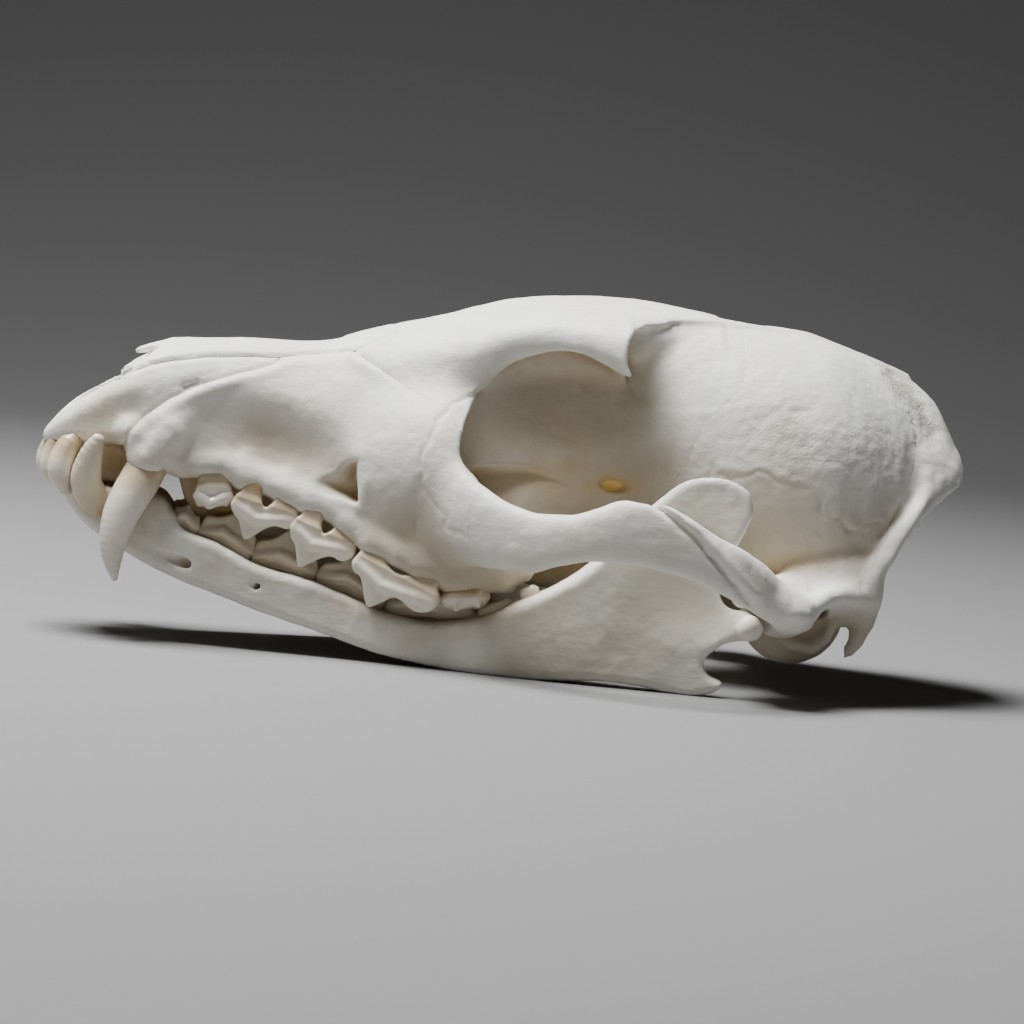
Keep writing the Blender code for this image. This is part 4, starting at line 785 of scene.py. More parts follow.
UPPER_CARNASSIAL = ((-24.8, 15.2, 21.6), (-12.3, 19.2, 15.0), 3.8, 6.6, UPPER_SHEAR, (0.1, -3.2, 2.0))
LOWER_CARNASSIAL = ((-20.3, 11.2, 12.0), (-6.4, 14.0, 11.2), 3.8, 3.9, LOWER_SHEAR, None)

# The belt round the foot of a crown: the place along the tooth, the height and the shift outwards.
BELT = [(0.05, 0, 0.2), (0.2, 0.5, 0.27), (0.38, 1.3, 0.3), (0.56, 0.9, 0.3), (0.76, 0.3, 0.28),
        (0.93, 0, 0.2)]
BELT_RADII = (0.75, 0.8, 0.85, 0.8, 0.85, 0.75)
BLADE_EDGE = 0.55


def direction(front, rear):
    """The ends of a tooth as arrays, the way along it and its length."""
    front, rear = np.array(front, float), np.array(rear, float)
    length = np.linalg.norm(rear - front)
    return front, rear, (rear - front) / length, length


def tooth_block(front, rear, crown, root, tall, width, spare):
    """A block of clay round a tooth, from the end of its roots to the top of its crown."""
    ends = np.array([end + height * crown for end in (front, rear) for height in (-root, tall)])
    return Clay(ends.min(axis=0) - width - spare, ends.max(axis=0) + width + spare, TOOTH_CELL)


def blade(front, rear, width, tall, outline, up, inner=None):
    """A thin tooth cut to an outline, thick at its belt and sharp at its edge."""
    front, rear, along, length = direction(front, rear)
    crown = np.cross(along, (0, 1, 0))
    crown *= (1 if up else -1) * np.sign(crown[2]) / np.linalg.norm(crown)
    out = np.cross(crown, along)
    out *= np.sign(out[1])
    clay = tooth_block(front, rear, crown, 3.2, tall, width * 0.6, 1.5)
    _, x, y, z = clay.window()
    p = [x - front[0], y - front[1], z - front[2]]
    s, h, n = (sum(a * b for a, b in zip(p, way)) for way in (along, crown, out))
    near = np.abs(n) < width
    flat = np.full(near.shape, 3.0, np.float32)
    flat[near] = line_distance(rounded(outline, steps=3), s[near], h[near], closed=True)
    rise = np.clip(h / tall, 0, 1)
    middle = np.clip(s / length, 0, 1)
    half = width / 2 * (1 - 0.74 * rise ** 0.8) * (0.82 + 0.18 * np.sin(math.pi * middle))
    half = half * (1 - 0.22 * np.clip(-h, 0, 1))
    clay.field = round_off(flat, np.abs(n) - half, BLADE_EDGE).astype(np.float32)

    def spot(share, height, shift):
        return front + along * length * share + crown * height + out * shift

    low = 1.0 if up else 1.3
    belt = [spot(share, low + height, width * shift) for share, height, shift in BELT]
    clay.add(rod(belt, BELT_RADII), 0.7)
    if inner:
        share, shift, height = inner
        clay.add(rod([spot(share, -2.4, shift * 0.8), spot(share, 0.4, shift)], (1.5, 1.6)), 1.2)
        clay.add(rod([spot(share, 0.4, shift), spot(share, height, shift * 0.92)], (1.5, 0.6)), 0.5)
    return clay, spot(0.5, -1.2, 0), spot(0.5, tall, 0)


# %% A cheek tooth
def cheek_tooth(front, rear, width, cusps, up):
    """A crown as a fan of cones from its base to each cusp, on two roots."""
    front, rear, along, length = direction(front, rear)
    crown = np.cross(along, (0, 1, 0)) * (-1 if up else 1)
    crown /= np.linalg.norm(crown)
    crown *= 1 if (crown[2] > 0) == up else -1
    cheek = np.array((0, 1, 0))
    base = 0.36 * width
    tallest = max(height for _, height, _ in cusps)
    clay = tooth_block(front, rear, crown, 2.6, tallest, width * 0.7, 2)
    inset = base / length
    for share, height, shift in cusps:
        tip = front + along * length * share + crown * (height - 0.3) + cheek * shift
        spread = min(0.5, 0.62 * height / length + 0.12)
        for place in np.linspace(max(inset, share - spread), min(1 - inset, share + spread), 7):
            foot = front + along * length * place + crown * 0.5 + cheek * shift * 0.55
            clay.add(rod([foot, tip], (base * 0.9, 0.26), squash=(1, 1.15, 1)), 0.3)
    gum = [front + along * base + crown * 0.6, rear - along * base + crown * 0.6]
    clay.add(rod(gum, (base, base)), 0.6)
    for place in (0.22, 0.78) if length > 5 else (0.5,):
        foot = front + along * length * place
        clay.add(rod([foot + crown * 0.4, foot - crown * 2.8], (base, base * 0.8)), 0.5)
    return clay, front + along * length / 2, front + along * length / 2 + crown * tallest


# %% List the teeth of one side
UPPER_ROW = {
    "up": False, "bones": ("premaxilla", "maxilla"), "blades": UPPER_BLADES, "shear": UPPER_CARNASSIAL,
    "molars": UPPER_MOLARS, "canine": (UPPER_CANINE, UPPER_CANINE_RADII, (1, 1.3, 1)),
    "incisors": UPPER_INCISORS, "wide": 1.3, "wider": 0.3}
LOWER_ROW = {
    "up": True, "bones": ("mandible", "mandible"), "blades": LOWER_BLADES, "shear": LOWER_CARNASSIAL,
    "molars": LOWER_MOLARS, "canine": (LOWER_CANINE, LOWER_CANINE_RADII, (1, 1.2, 1)),
    "incisors": LOWER_INCISORS, "wide": 1.0, "wider": 0.2}


def teeth_of(up, bones, blades, shear, molars, canine, incisors, wide, wider):
    """Each tooth of one side as (bone, clay, neck, tip), cheek teeth first."""
    front_bone, bone = bones
    for front, rear, width, *crown in blades:
        outline = sail(math.dist(front, rear), *crown)
        yield (bone, *blade(front, rear, width, crown[0], outline, up))
    front, rear, width, tall, shape, inner = shear
    outline = [(math.dist(front, rear) * s, h) for s, h in shape]
    yield (bone, *blade(front, rear, width, tall, outline, up, inner))
    for molar in molars:
        yield (bone, *cheek_tooth(*molar, up))
    yield (bone, *curved_tooth(*canine))
    for number, path in enumerate(incisors):
        thick = wide + wider * number
        radii = (thick * 0.5, thick * 0.95, thick, thick * 0.5)
        yield (front_bone, *curved_tooth(path, radii, (1, 1, 1)))


# %% [markdown]
# ## From clay to mesh
#
# A skin becomes a mesh object whose points carry a few numbers for the finish: how hollow the
# place is and how much bone lies above it, which the finish turns into painted shade, how thin the
# real bone is there, how near it is to the gums, and how far up its crown a tooth's point stands.
# The numbers are measured on the clay, so they are true from any side.

# %% Meshes with measured points
def largest(points, quads):
    """Keep only the surface with most points."""
    label = np.arange(len(points))
    while True:
        lower = label.copy()
        np.minimum.at(lower, quads.ravel(), np.repeat(label[quads].min(axis=1), 4))
        lower = lower[lower]
        if np.array_equal(lower, label):
            break
        label = lower
    keep = label == np.argmax(np.bincount(label))
    number = np.cumsum(keep) - 1
    return points[keep], number[quads[keep[quads[:, 0]]]]


def mesh_object(name, points, quads, measures, crease=None):
    """A smooth shaded object with one number a point for each measure."""
    mesh = bpy.data.meshes.new(name)
    mesh.vertices.add(len(points))
    mesh.vertices.foreach_set("co", (lay_down(points) * MM).astype(np.float32).ravel())
    mesh.loops.add(quads.size)
    mesh.loops.foreach_set("vertex_index", np.ascontiguousarray(quads, np.int32).ravel())
    mesh.polygons.add(len(quads))
    mesh.polygons.foreach_set("loop_start", np.arange(0, quads.size, 4, dtype=np.int32))
    mesh.update(calc_edges=True)
    mesh.shade_smooth()
    if crease:
        mesh.set_sharp_from_angle(angle=crease)
    for label, values in measures.items():
        layer = mesh.attributes.new(label, "FLOAT", "POINT")
        layer.data.foreach_set("value", values.astype(np.float32))
    piece = bpy.data.objects.new(name, mesh)
    bpy.context.scene.collection.objects.link(piece)
    return piece


# %% How hollow a place is
def box_blur(values, reach):
    """The mean over a cube of 2 reach + 1 samples a side."""
    for axis in range(3):
        total = np.cumsum(values, axis=axis, dtype=np.float64)
        count = values.shape[axis]
        upper = np.minimum(np.arange(count) + reach, count - 1)
        lower = np.arange(count) - reach - 1
        sums = np.take(total, upper, axis=axis)
        sums -= np.take(total, np.maximum(lower, 0), axis=axis) * (lower >= 0).reshape(
            [-1 if i == axis else 1 for i in range(3)])
        values = (sums / (2 * reach + 1)).astype(np.float32)
    return values


def at_points(grid, place):
    """Read a grid at places given in its own samples, between samples too."""
    place = np.clip(place, 0, np.array(grid.shape) - 1.001)
    knot = place.astype(int)
    t = place - knot
    value = 0
    for corner in np.ndindex(2, 2, 2):
        share = np.prod(np.where(corner, t, 1 - t), axis=1)
        value = value + share * grid[tuple((knot + corner).T)]
    return value


# How much bone is close by, far round and overhead; the finish darkens the colour by these as painted
# shade.
NEAR_REACH, FAR_REACH, WIDE_REACH, OVERHEAD = 1.3, 4.5, 3.5, 8.0


class Hollows:
    """How much of the space near a place, far round it and above it is filled with bone."""

    def __init__(self, clay):
        self.low, self.cell = clay.low, clay.cell * 2
        full = (clay.field[::2, ::2, ::2] < 0).astype(np.float32)
        self.near = box_blur(full, max(1, round(NEAR_REACH / self.cell)))
        self.far = box_blur(full, round(FAR_REACH / self.cell))
        self.wide = box_blur(self.far, round(WIDE_REACH / self.cell))

    def measure(self, points):
        """How full of bone it is close to each point, far round it and above it."""
        place = (points - self.low) / self.cell
        near = np.clip((at_points(self.near, place) - 0.5) * 3.2, -1, 1)
        far = np.clip((at_points(self.far, place) - 0.47) * 2.6, -1, 1)
        over = at_points(self.wide, place + (0, 0, OVERHEAD / self.cell))
        return near, far, over


# %% Where bone is thin, and where the gums were
GUM_LINE = [(-60, 36), (-52, 33.6), (-44, 30.4), (-34.5, 26.4), (-25, 21.2), (-18, 17.4), (-12, 15.4),
            (-4, 15.8), (1, 17)]
JAW_GUM_LINE = [(-66, 31), (-54, 25), (-41, 19.8), (-31, 16.4), (-20, 12.2), (-6, 11.6), (4, 16)]
GUM_REACH = 3.4

# The finish paints these places amber, as painted light that comes through thin bone.
# Middle and reach along X, middle and reach along Z, how thin, and the half breadth that it ends at.
THIN_PLACES = {
    "eye socket": (9, 9, 33, 7, 0.55, 15),
    "palate wings": (10, 11, 19, 6, 1, 10),
    "side of the nose": (-64, 5, 43, 4, 0.6, 99),
    "gap behind the incisors": (-62, 6, 35.5, 3.2, 1.2, 7.6),
    "inside of the tooth sockets": (-46, 11, 28.5, 5.5, 1.2, 7),
    "nerve hole": (16, 3.2, 31.5, 1.6, 1.4, 15)}


def thin_places(points):
    """How thin the bone is in the thin places, where light comes through."""
    x, y, z = points.T
    thin = 0
    for mid_x, reach_x, mid_z, reach_z, strength, side in THIN_PLACES.values():
        spot = np.exp(-((x - mid_x) / reach_x) ** 2 - ((z - mid_z) / reach_z) ** 2)
        thin = thin + spot * strength * (np.abs(y) < side)
    return np.clip(thin, 0, 1.6)


def near_line(points, line, reach):
    """1 on a line seen from the side, fading out over the reach."""
    return np.exp(-(line_distance(line, points[:, 0], points[:, 2]) / reach) ** 2)


def scars(points):
    """The porous band along the crest and the roughened side of the braincase."""
    x, y, z = points.T
    band = near_line(points, CREST_BAND + [(67.8, 40.4)], 1.8)
    side = 0.45 * np.exp(-((x - 45) / 13) ** 2 - ((z - 39) / 8) ** 2) * (np.abs(y) > 12)
    return np.maximum(band, side)


def bone_measures(points, hollows, line, shading_hollows=None):
    """The numbers at the points of a bone, with the hollows of a bone above it painted on it as shade."""
    near, far, over = hollows.measure(points)
    # A bone lying above this one adds painted shade to it.
    if shading_hollows:
        over = np.maximum(over, 0.9 * shading_hollows.measure(points)[2])
    return {"near": near, "far": far, "over": over, "thin": thin_places(points),
            "scar": scars(points), "gum": near_line(points, line, GUM_REACH)}


# %% [markdown]
# ## Parting the skull into its bones
#
# In a young fox the bones are separate, and in an adult they meet in narrow, toothed seams. Each
# bone's outline is known from the side. A sample belongs to the bone whose outline it is deepest
# in, with a different noise added for each bone, so the seams waver and still fit each other.
# The cheekbones and the ear bullae are outlined from above and taken out first.

# %% Outlines of the bones
FAR, HIGH, LOW = 100.0, 80.0, -12.0
NASAL_SUTURE = [(-61.6, HIGH), (-61.6, 48.8), (-60.4, 49.8), (-57.4, 50.9), (-54, 51.6), (-48.9, 52.1),
                (-41.6, 52.1), (-36.4, 52.0), (-25, 53)]
PREMAXILLA_SUTURE = [(-62, LOW), (-61.4, 38), (-60.2, 40.9), (-58, 43.1), (-54.2, 45.7), (-49.2, 47.9),
                     (-43.5, 49.5), (-39.4, 50.4), (-37.3, 51.1), (-36.4, 52.0)]
FACE_SUTURE = [(-25, 53), (-17, 47.5), (-11, 44.5), (-8, 37), (-3, 29), (3.5, 22)]
CORONAL_SUTURE = [(22, 20), (23, 28), (27, 36), (29.5, 42), (35.4, 47.5), (37.2, 57), (38, HIGH)]
LAMBDOID_SUTURE = [(58.6, HIGH), (58.6, 51.4), (60.4, 48.9), (62.6, 45.2), (64, 42.8), (64.5, 39),
                   (63.6, 34.6), (61.4, 31), (57, 23), (53, 17), (51.2, 13.6), (51.2, LOW)]
BROW_CORNER = [(-18, 56), (-18, HIGH)]
WING_CREST = (12, 23)
BONE_SEED, CHEEK_SEED, BULLA_SEED = 100, 120, 121
CHEEK_PLAN = [(-15, 33), (-4.6, 22.2), (4, 22), (30, 24.5), (33.5, 27), (37.5, 46), (-15, 46)]
BULLA_CENTRE, BULLA_RADII, BULLA_ROOT = (44.4, 14.4), (9.8, 8.3), 14.4
ROOT = [(FACE_SUTURE[-1][0], LOW)]
BONE_OUTLINES = {
    "premaxilla": [(-FAR, LOW)] + PREMAXILLA_SUTURE + NASAL_SUTURE[6::-1] + [(-FAR, HIGH)],
    "maxilla": PREMAXILLA_SUTURE + NASAL_SUTURE[8:] + FACE_SUTURE[1:] + ROOT,
    "nasal_bones": NASAL_SUTURE + BROW_CORNER,
    "frontal_bone": BROW_CORNER[::-1] + FACE_SUTURE + [WING_CREST] + CORONAL_SUTURE,
    "palate_wings": [FACE_SUTURE[-1]] + ROOT + [(CORONAL_SUTURE[0][0], LOW), CORONAL_SUTURE[0],
                                                WING_CREST],
    "braincase": CORONAL_SUTURE[::-1] + [(CORONAL_SUTURE[0][0], LOW)] + LAMBDOID_SUTURE[::-1],
    "occipital_bone": LAMBDOID_SUTURE + [(FAR, LOW), (FAR, HIGH)]}
EDGE_LIFT = {"maxilla": 0.2, "premaxilla": -0.12, "nasal_bones": 0.16}


# %% Crisp edges where a cut meets the surface
HALF_STEP = 0.4


def crisp(points, clay, region):
    """Move the points nearest to an edge of a cut on to that edge."""
    fields = (clay.field, region)
    place = (points - clay.low) / clay.cell
    near = np.ones(len(points), bool)
    for field in fields:
        near[near] &= np.abs(at_points(field, place[near])) < 0.9 * clay.cell
    start = spot = place[near]
    for _ in range(3):
        value = np.stack([at_points(field, spot) for field in fields], axis=1)
        slope = np.empty((len(spot), 2, 3))
        for axis, step in enumerate(HALF_STEP * np.eye(3)):
            for row, field in enumerate(fields):
                rise = at_points(field, spot + step) - at_points(field, spot - step)
                slope[:, row, axis] = rise / (2 * HALF_STEP)
        gram = slope @ slope.transpose(0, 2, 1) + 1e-3 * clay.cell ** 2 * np.eye(2)
        move = slope.transpose(0, 2, 1) @ np.linalg.solve(gram, value[:, :, None])
        spot = spot - np.clip(move[:, :, 0], -0.5, 0.5)
    spot = start + np.clip(spot - start, -0.9, 0.9)
    points = points.copy()
    points[near] = spot * clay.cell + clay.low
    return points


# %% Part the clay
def part_bones(clay):
    """Yield each bone of the upper skull as a name, points and quads."""
    _, x, y, z = clay.window()
    snout = np.clip((-16 - x) / 8, 0, 1)
    seeds = {name: BONE_SEED + number for number, name in enumerate(BONE_OUTLINES)}

    def depth(name):
        waver = (0.2 - 0.13 * snout) * clay.noise(1.8, seeds[name])
        return side_outline(BONE_OUTLINES[name], x, z) + waver

    first = np.full(clay.field.shape, 1e3, np.float32)
    second = first.copy()
    for name in BONE_OUTLINES:
        value = depth(name)
        second = np.minimum(second, np.maximum(first, value))
        first = np.minimum(first, value)
    cheek = line_distance(CHEEK_PLAN, x[:, :, 0], np.abs(y[:, :, 0]), closed=True)[:, :, None]
    cheek = (cheek + 0.3 * clay.noise(1.5, CHEEK_SEED)).astype(np.float32)
    (cx, cy), (rx, ry) = BULLA_CENTRE, BULLA_RADII
    out = np.hypot((x - cx) / rx, (np.abs(y) - cy) / ry)
    bulla = np.maximum((out - 1) * min(rx, ry), z - BULLA_ROOT + 0.2 * clay.noise(1.5, BULLA_SEED))
    bulla = bulla.astype(np.float32)
    taken = np.minimum(cheek, bulla)
    for name in BONE_OUTLINES:
        value = depth(name)
        margin = np.where(value <= first, value - second, value - first) / 2
        region = np.maximum(margin, -taken) + SEAM / 2
        furrow = (0.03 + 0.24 * snout) * np.exp(-(margin / 0.34) ** 2)
        relief = furrow - snout * EDGE_LIFT.get(name, 0) * np.exp(-((margin + 1.0) / 0.9) ** 2)
        surface = Clay.__new__(Clay)
        surface.low, surface.cell, surface.field = clay.low, clay.cell, clay.field + relief
        points, quads = largest(*surface.skin(np.maximum(surface.field, region)))
        yield name, crisp(points, surface, region), quads
    middle = clay.field.shape[1] // 2
    for side, half in (("left", slice(0, middle)), ("right", slice(middle, None))):
        for name, region in (("cheekbone_", cheek), ("ear_bulla_", bulla)):
            part = np.maximum(clay.field[:, half], region[:, half] + SEAM / 2)
            points, quads = largest(*clay.skin(part, (0, half.start, 0)))
            yield name + side, crisp(points, clay, region + SEAM / 2), quads


# %% Make the bones of the upper skull
hollows = Hollows(skull)
bones = {}
for name, points, quads in part_bones(skull):
    measures = bone_measures(points, hollows, GUM_LINE)
    bones[name] = mesh_object(name + "_surface", points, quads, measures, CREASE)
    print(name, "quads:", len(quads))


# %% Make both halves of the jaw
def mirror_points(points, quads):
    """The other side's points and quads, facing out."""
    return points * (1, -1, 1), quads[:, ::-1]


for side, seed in (("right", 41), ("left", 47)):
    jaw = jaw_clay(JAW_CELL)
    weather(jaw, seed)
    _, x, y, z = jaw.window()
    under_floor = FLOOR_DROP / math.cos(PITCH) - x * math.tan(PITCH) - z
    jaw.field = np.maximum(jaw.field, under_floor * math.cos(PITCH) + 0 * y)
    points, quads = largest(*jaw.skin())
    # The skull's hollows paint shade on the jaw that lies under it.
    measures = bone_measures(points, Hollows(jaw), JAW_GUM_LINE, hollows)
    if side == "left":
        points, quads = mirror_points(points, quads)
    bones["mandible_" + side] = mesh_object(f"mandible_{side}_surface", points, quads, measures)
    print("mandible", side, "quads:", len(quads))


# %% Make the teeth
def crown_measure(points, neck, tip):
    """0 below the neck of a tooth, 1 at its tip."""
    way = tip - neck
    return np.clip((points - neck) @ way / way.dot(way), -0.3, 1)


ENAMEL_WAVE = 0.035


def tooth_row(name, rows, sides, seed):
    """All the teeth of a bone as one object."""
    all_points, all_quads, crowns, tones, count = [], [], [], [], 0
    rng = np.random.default_rng(seed)
    for clay, neck, tip in rows:
        clay.field -= ENAMEL_WAVE * clay.noise(1.1, seed + count % 97)
        points, quads = largest(*clay.skin())
        crown = crown_measure(points, neck, tip)
        for side in sides:
            flipped = (points, quads) if side > 0 else mirror_points(points, quads)
            all_points.append(flipped[0])
            all_quads.append(flipped[1] + count)
            crowns.append(crown)
            tones.append(np.full(len(points), rng.uniform()))
            count += len(points)
    measures = {"crown": np.concatenate(crowns), "tone": np.concatenate(tones)}
    return mesh_object(name, np.concatenate(all_points), np.concatenate(all_quads), measures)


uppers = {"premaxilla": [], "maxilla": []}
for bone, *tooth in teeth_of(**UPPER_ROW):
    uppers[bone].append(tooth)
lowers = [tooth for _, *tooth in teeth_of(**LOWER_ROW)]
teeth = {
    "premaxilla": tooth_row("incisors_upper", uppers["premaxilla"], (1, -1), 61),
    "maxilla": tooth_row("teeth_upper", uppers["maxilla"], (1, -1), 62),
    "mandible_right": tooth_row("teeth_lower_right", lowers, (1,), 63),
    "mandible_left": tooth_row("teeth_lower_left", lowers, (-1,), 64),
}
for bone, piece in teeth.items():
    print(piece.name, "quads:", len(piece.data.polygons))

# %% [markdown]
# ## Finishes
#
# Shader maths reads best as plain expressions. A small class wraps a socket of a node, so that
# an expression such as 1 - mask * 0.5 adds its own Math nodes. Colours go through Mix nodes.

# %% Expressions that build nodes
class Wire:
    """A socket that can be used in an expression."""

    def __init__(self, finish, socket):
        self.finish, self.socket = finish, socket

    def math(self, operation, *others, clamp=False):
        return self.finish.node("ShaderNodeMath", dict(enumerate((self, *others))),
                                operation=operation, use_clamp=clamp)

    def __add__(self, other):
        return self.math("ADD", other)

    def __sub__(self, other):
        return self.math("SUBTRACT", other)

    def __rsub__(self, other):
        return self.finish.node("ShaderNodeMath", {0: other, 1: self}, operation="SUBTRACT")

    def __mul__(self, other):
        return self.math("MULTIPLY", other)

    __radd__, __rmul__ = __add__, __mul__

    def between(self, low, high):
        """0 at low, 1 at high, smooth in between."""
        return self.finish.node("ShaderNodeMapRange", {"Value": self, "From Min": low, "From Max": high},
                                interpolation_type="SMOOTHSTEP")

    def clamped(self):
        return self.math("ADD", 0.0, clamp=True)


class Finish:
    """A material and the nodes that feed its Principled shader."""

    def __init__(self, name, **sockets):
        self.material = bpy.data.materials.new(name)
        self.material.use_nodes = True
        self.tree = self.material.node_tree
        self.shader = self.tree.nodes["Principled BSDF"]
        for label, value in sockets.items():
            self.shader.inputs[label.replace("_", " ")].default_value = value

    def node(self, kind, sockets=None, out=0, **settings):
        """Add a node: its settings first, then the values or wires of its sockets."""
        node = self.tree.nodes.new(kind)
        for label, value in settings.items():
            setattr(node, label, value)
        for label, value in (sockets or {}).items():
            self.feed(node.inputs[label], value)
        return Wire(self, node.outputs[out])

    def feed(self, socket, value):
        """Give a socket a wire, a colour or a number."""
        if isinstance(value, Wire):
            self.tree.links.new(value.socket, socket)
        elif isinstance(value, tuple) and len(value) == 3 and socket.type == "RGBA":
            socket.default_value = (*value, 1)
        else:
            socket.default_value = value

    def measure(self, label):
        """A number that the mesh carries at its points."""
        return self.node("ShaderNodeAttribute", out="Fac", attribute_name=label)

    def mix(self, one, two, share):
        """A colour between two."""
        return self.node("ShaderNodeMix", {0: share, 6: one, 7: two}, 2, data_type="RGBA",
                         clamp_factor=True)

    def stained_and_shaded(self, colour, stains_and_shades):
        """A colour with stains and painted light and shade laid over it, one after another, each with its
        share.
        """
        for stain_and_shade, share in stains_and_shades:
            colour = self.mix(colour, stain_and_shade, share)
        return colour

    def place(self, scale=(1, 1, 1)):
        """The point on the object, in metres, pulled longer on an axis by a small scale."""
        here = self.node("ShaderNodeTexCoord", out="Object")
        return self.node("ShaderNodeMapping", {"Vector": here, "Scale": scale})

    def noise(self, size, detail, rough=0.55, scale=(1, 1, 1), warp=0.0):
        """Soft noise whose lumps are about size millimetres across."""
        return self.node("ShaderNodeTexNoise", {
            "Vector": self.place(scale), "Scale": 1000.0 / size, "Detail": detail,
            "Roughness": rough, "Distortion": warp})

    def cells(self, size):
        """Distance to scattered points about size millimetres apart."""
        return self.node("ShaderNodeTexVoronoi", {"Vector": self.place(), "Scale": 1000.0 / size},
                         out="Distance")

    def finish(self, colour, rough, height=None, strength=0.0, distance=0.0):
        """Feed the shader: its colour, its roughness and, for fine relief, a bump."""
        self.feed(self.shader.inputs["Base Color"], colour)
        self.feed(self.shader.inputs["Roughness"], rough)
        if height is not None:
            bump = self.node("ShaderNodeBump", {"Height": height, "Strength": strength,
                                                "Distance": distance})
            self.feed(self.shader.inputs["Normal"], bump)
        return self.material


# %% [markdown]
# ## Bone
#
# Bleached bone is off-white. Light and shade are painted into its colour too: it is painted cooler
# and lighter where it bulges up into the light, and painted shade makes it cream to ochre in the
# hollows and under overhangs, along with the fat and dirt that stay there. Thin walls are painted
# amber for the light that comes through them. It is matt with a slight sheen, finely grained along
# its fibres, and speckled with pores. The measured hollows steer the painted shade and the warm
# colour; noise breaks it up.

# %% The bone finish
def bone_finish(name, tint, scale):
    """Bleached bone with a tint, painted darker on the jaw as shade; the scale sets the size of its
    clouds.
    """
    bone = Finish(name, Subsurface_Weight=0.06, Subsurface_Scale=0.0012, Specular_IOR_Level=0.36,
                  Subsurface_Radius=(1.0, 0.6, 0.35), IOR=1.5)
    near, far, over, thin, gum, scar = (bone.measure(label) for label in
                                        ("near", "far", "over", "thin", "gum", "scar"))
    broad = bone.noise(22 * scale, 4, warp=0.3)
    patch = bone.noise(6, 5, 0.6)
    fine = bone.noise(1.1, 4, 0.6)
    grain = bone.noise(0.8, 3, 0.6, scale=(0.16, 1, 1))
    pores = bone.cells(0.9).between(0.16, 0.05) * patch.between(0.5, 0.62)
    pits = bone.cells(0.7).between(0.3, 0.06) * (scar * 1.4 + fine - 0.75).clamped()
    white = tuple(t * c for t, c in zip(tint, (0.84, 0.84, 0.81)))
    colour = bone.stained_and_shaded(white, [
        ((0.76, 0.70, 0.56), (broad * 1.1 + patch * 0.35 - 0.42).between(0.1, 0.6) * 0.6),
        # Painted shade: darker and warmer where bone lies overhead, and on the jaw under the skull.
        ((0.44, 0.37, 0.26), (over + patch * 0.16 - 0.08).between(0.08, 0.66) * 0.85),
        # The next two are painted shade in the hollows and creases, warm like the fat and dirt that stay
        # there.
        ((0.50, 0.38, 0.23), (far.between(0.02, 0.75) * (patch + 0.4)).clamped() * 0.7),
        ((0.42, 0.30, 0.17), near.between(0.12, 0.85) * 0.7),
        ((0.52, 0.38, 0.22), (gum * patch.between(0.35, 0.65)).clamped() * 0.5),
        # Painted light: amber where light comes through thin bone, glowing in the nerve hole.
        ((0.66, 0.42, 0.13), (thin * (patch.between(0.3, 0.7) * 0.6 + 0.3)).clamped() * 0.8),
        ((0.92, 0.66, 0.22), thin.between(1.25, 1.5)),
        ((0.40, 0.31, 0.21), pores * 0.6),
        ((0.36, 0.30, 0.22), pits * 0.8),
        ((0.46, 0.42, 0.34), (scar * (fine + 0.4)).clamped() * 0.9),
        # Painted highlight: lighter on bulges with no bone above them, where the top light falls.
        ((0.90, 0.90, 0.88), near.between(-0.15, -0.8) * (1 - over).clamped() * 0.5)])
    grit = bone.noise(0.42, 2, 0.6) * scar
    height = grain * 0.5 + fine * 0.45 + grit * 1.6 - pores * 0.9 - pits * 1.2
    return bone.finish(colour, fine * 0.12 + broad * 0.1 + 0.40, height, 0.4, 0.0003)


# The lower jaw's tint is darker and warmer: painted shade, for the jaw lies under the skull.
TINTS = {
    "premaxilla": (1, 1, 0.98), "nasal_bones": (1.01, 1.01, 1.02), "maxilla": (1, 0.99, 0.97),
    "frontal_bone": (1.01, 1.01, 1.02), "palate_wings": (0.97, 0.94, 0.88), "braincase": (1, 1, 1),
    "occipital_bone": (1, 0.995, 0.98), "cheekbone": (1.01, 1, 0.98), "ear_bulla": (1, 0.98, 0.95),
    "mandible": (0.86, 0.84, 0.79)}
for number, (name, piece) in enumerate(bones.items()):
    family = name.removesuffix("_left").removesuffix("_right")
    piece.data.materials.append(bone_finish("bone_" + name, TINTS[family], 0.8 + 0.05 * number))
print("bone finishes:", len(bones))

# %% [markdown]
# ## Enamel
#
# Enamel is a hard glaze, so the crowns shine where the bone doesn't. The root and neck are
# yellow-brown cementum, and the crown turns ivory and then a little greyer towards the tip, with
# faint long streaks of stain. Each tooth has a tone of its own.

# %% The enamel finish
def enamel_finish(name, stain_and_shade):
    """Enamel over a yellow root, browner in the crown by stain and, in the lower teeth, by painted shade.
    """
    enamel = Finish(name, Subsurface_Weight=0.12, Subsurface_Scale=0.0012, Coat_Weight=0.55,
                    Subsurface_Radius=(1.0, 0.75, 0.5), Coat_Roughness=0.12, IOR=1.55)
    crown, tone = enamel.measure("crown"), enamel.measure("tone")
    cloud = enamel.noise(3.5, 4, 0.6)
    streak = enamel.noise(0.9, 3, 0.6, scale=(1, 1, 0.15))
    level = crown + cloud * 0.35 - 0.17
    ivory = tuple(c - stain_and_shade * d for c, d in zip((0.82, 0.79, 0.70), (0.16, 0.24, 0.32)))
    colour = enamel.stained_and_shaded((0.36, 0.24, 0.11), [
        ((0.58, 0.46, 0.29), level.between(-0.15, 0.12)),
        (ivory, level.between(0.1, 0.36)),
        ((0.56, 0.50, 0.40), level.between(0.5, 0.85) * (0.75 - cloud * 0.5)),
        ((0.62, 0.50, 0.32), streak.between(0.56, 0.78) * (1 - level).clamped() * 0.6),
        ((0.80, 0.72, 0.56), tone * 0.3)])
    rough = cloud * 0.14 + 0.2 + (1 - level).clamped() * 0.14
    return enamel.finish(colour, rough, streak * 0.6 + cloud * 0.4, 0.12, 0.0002)


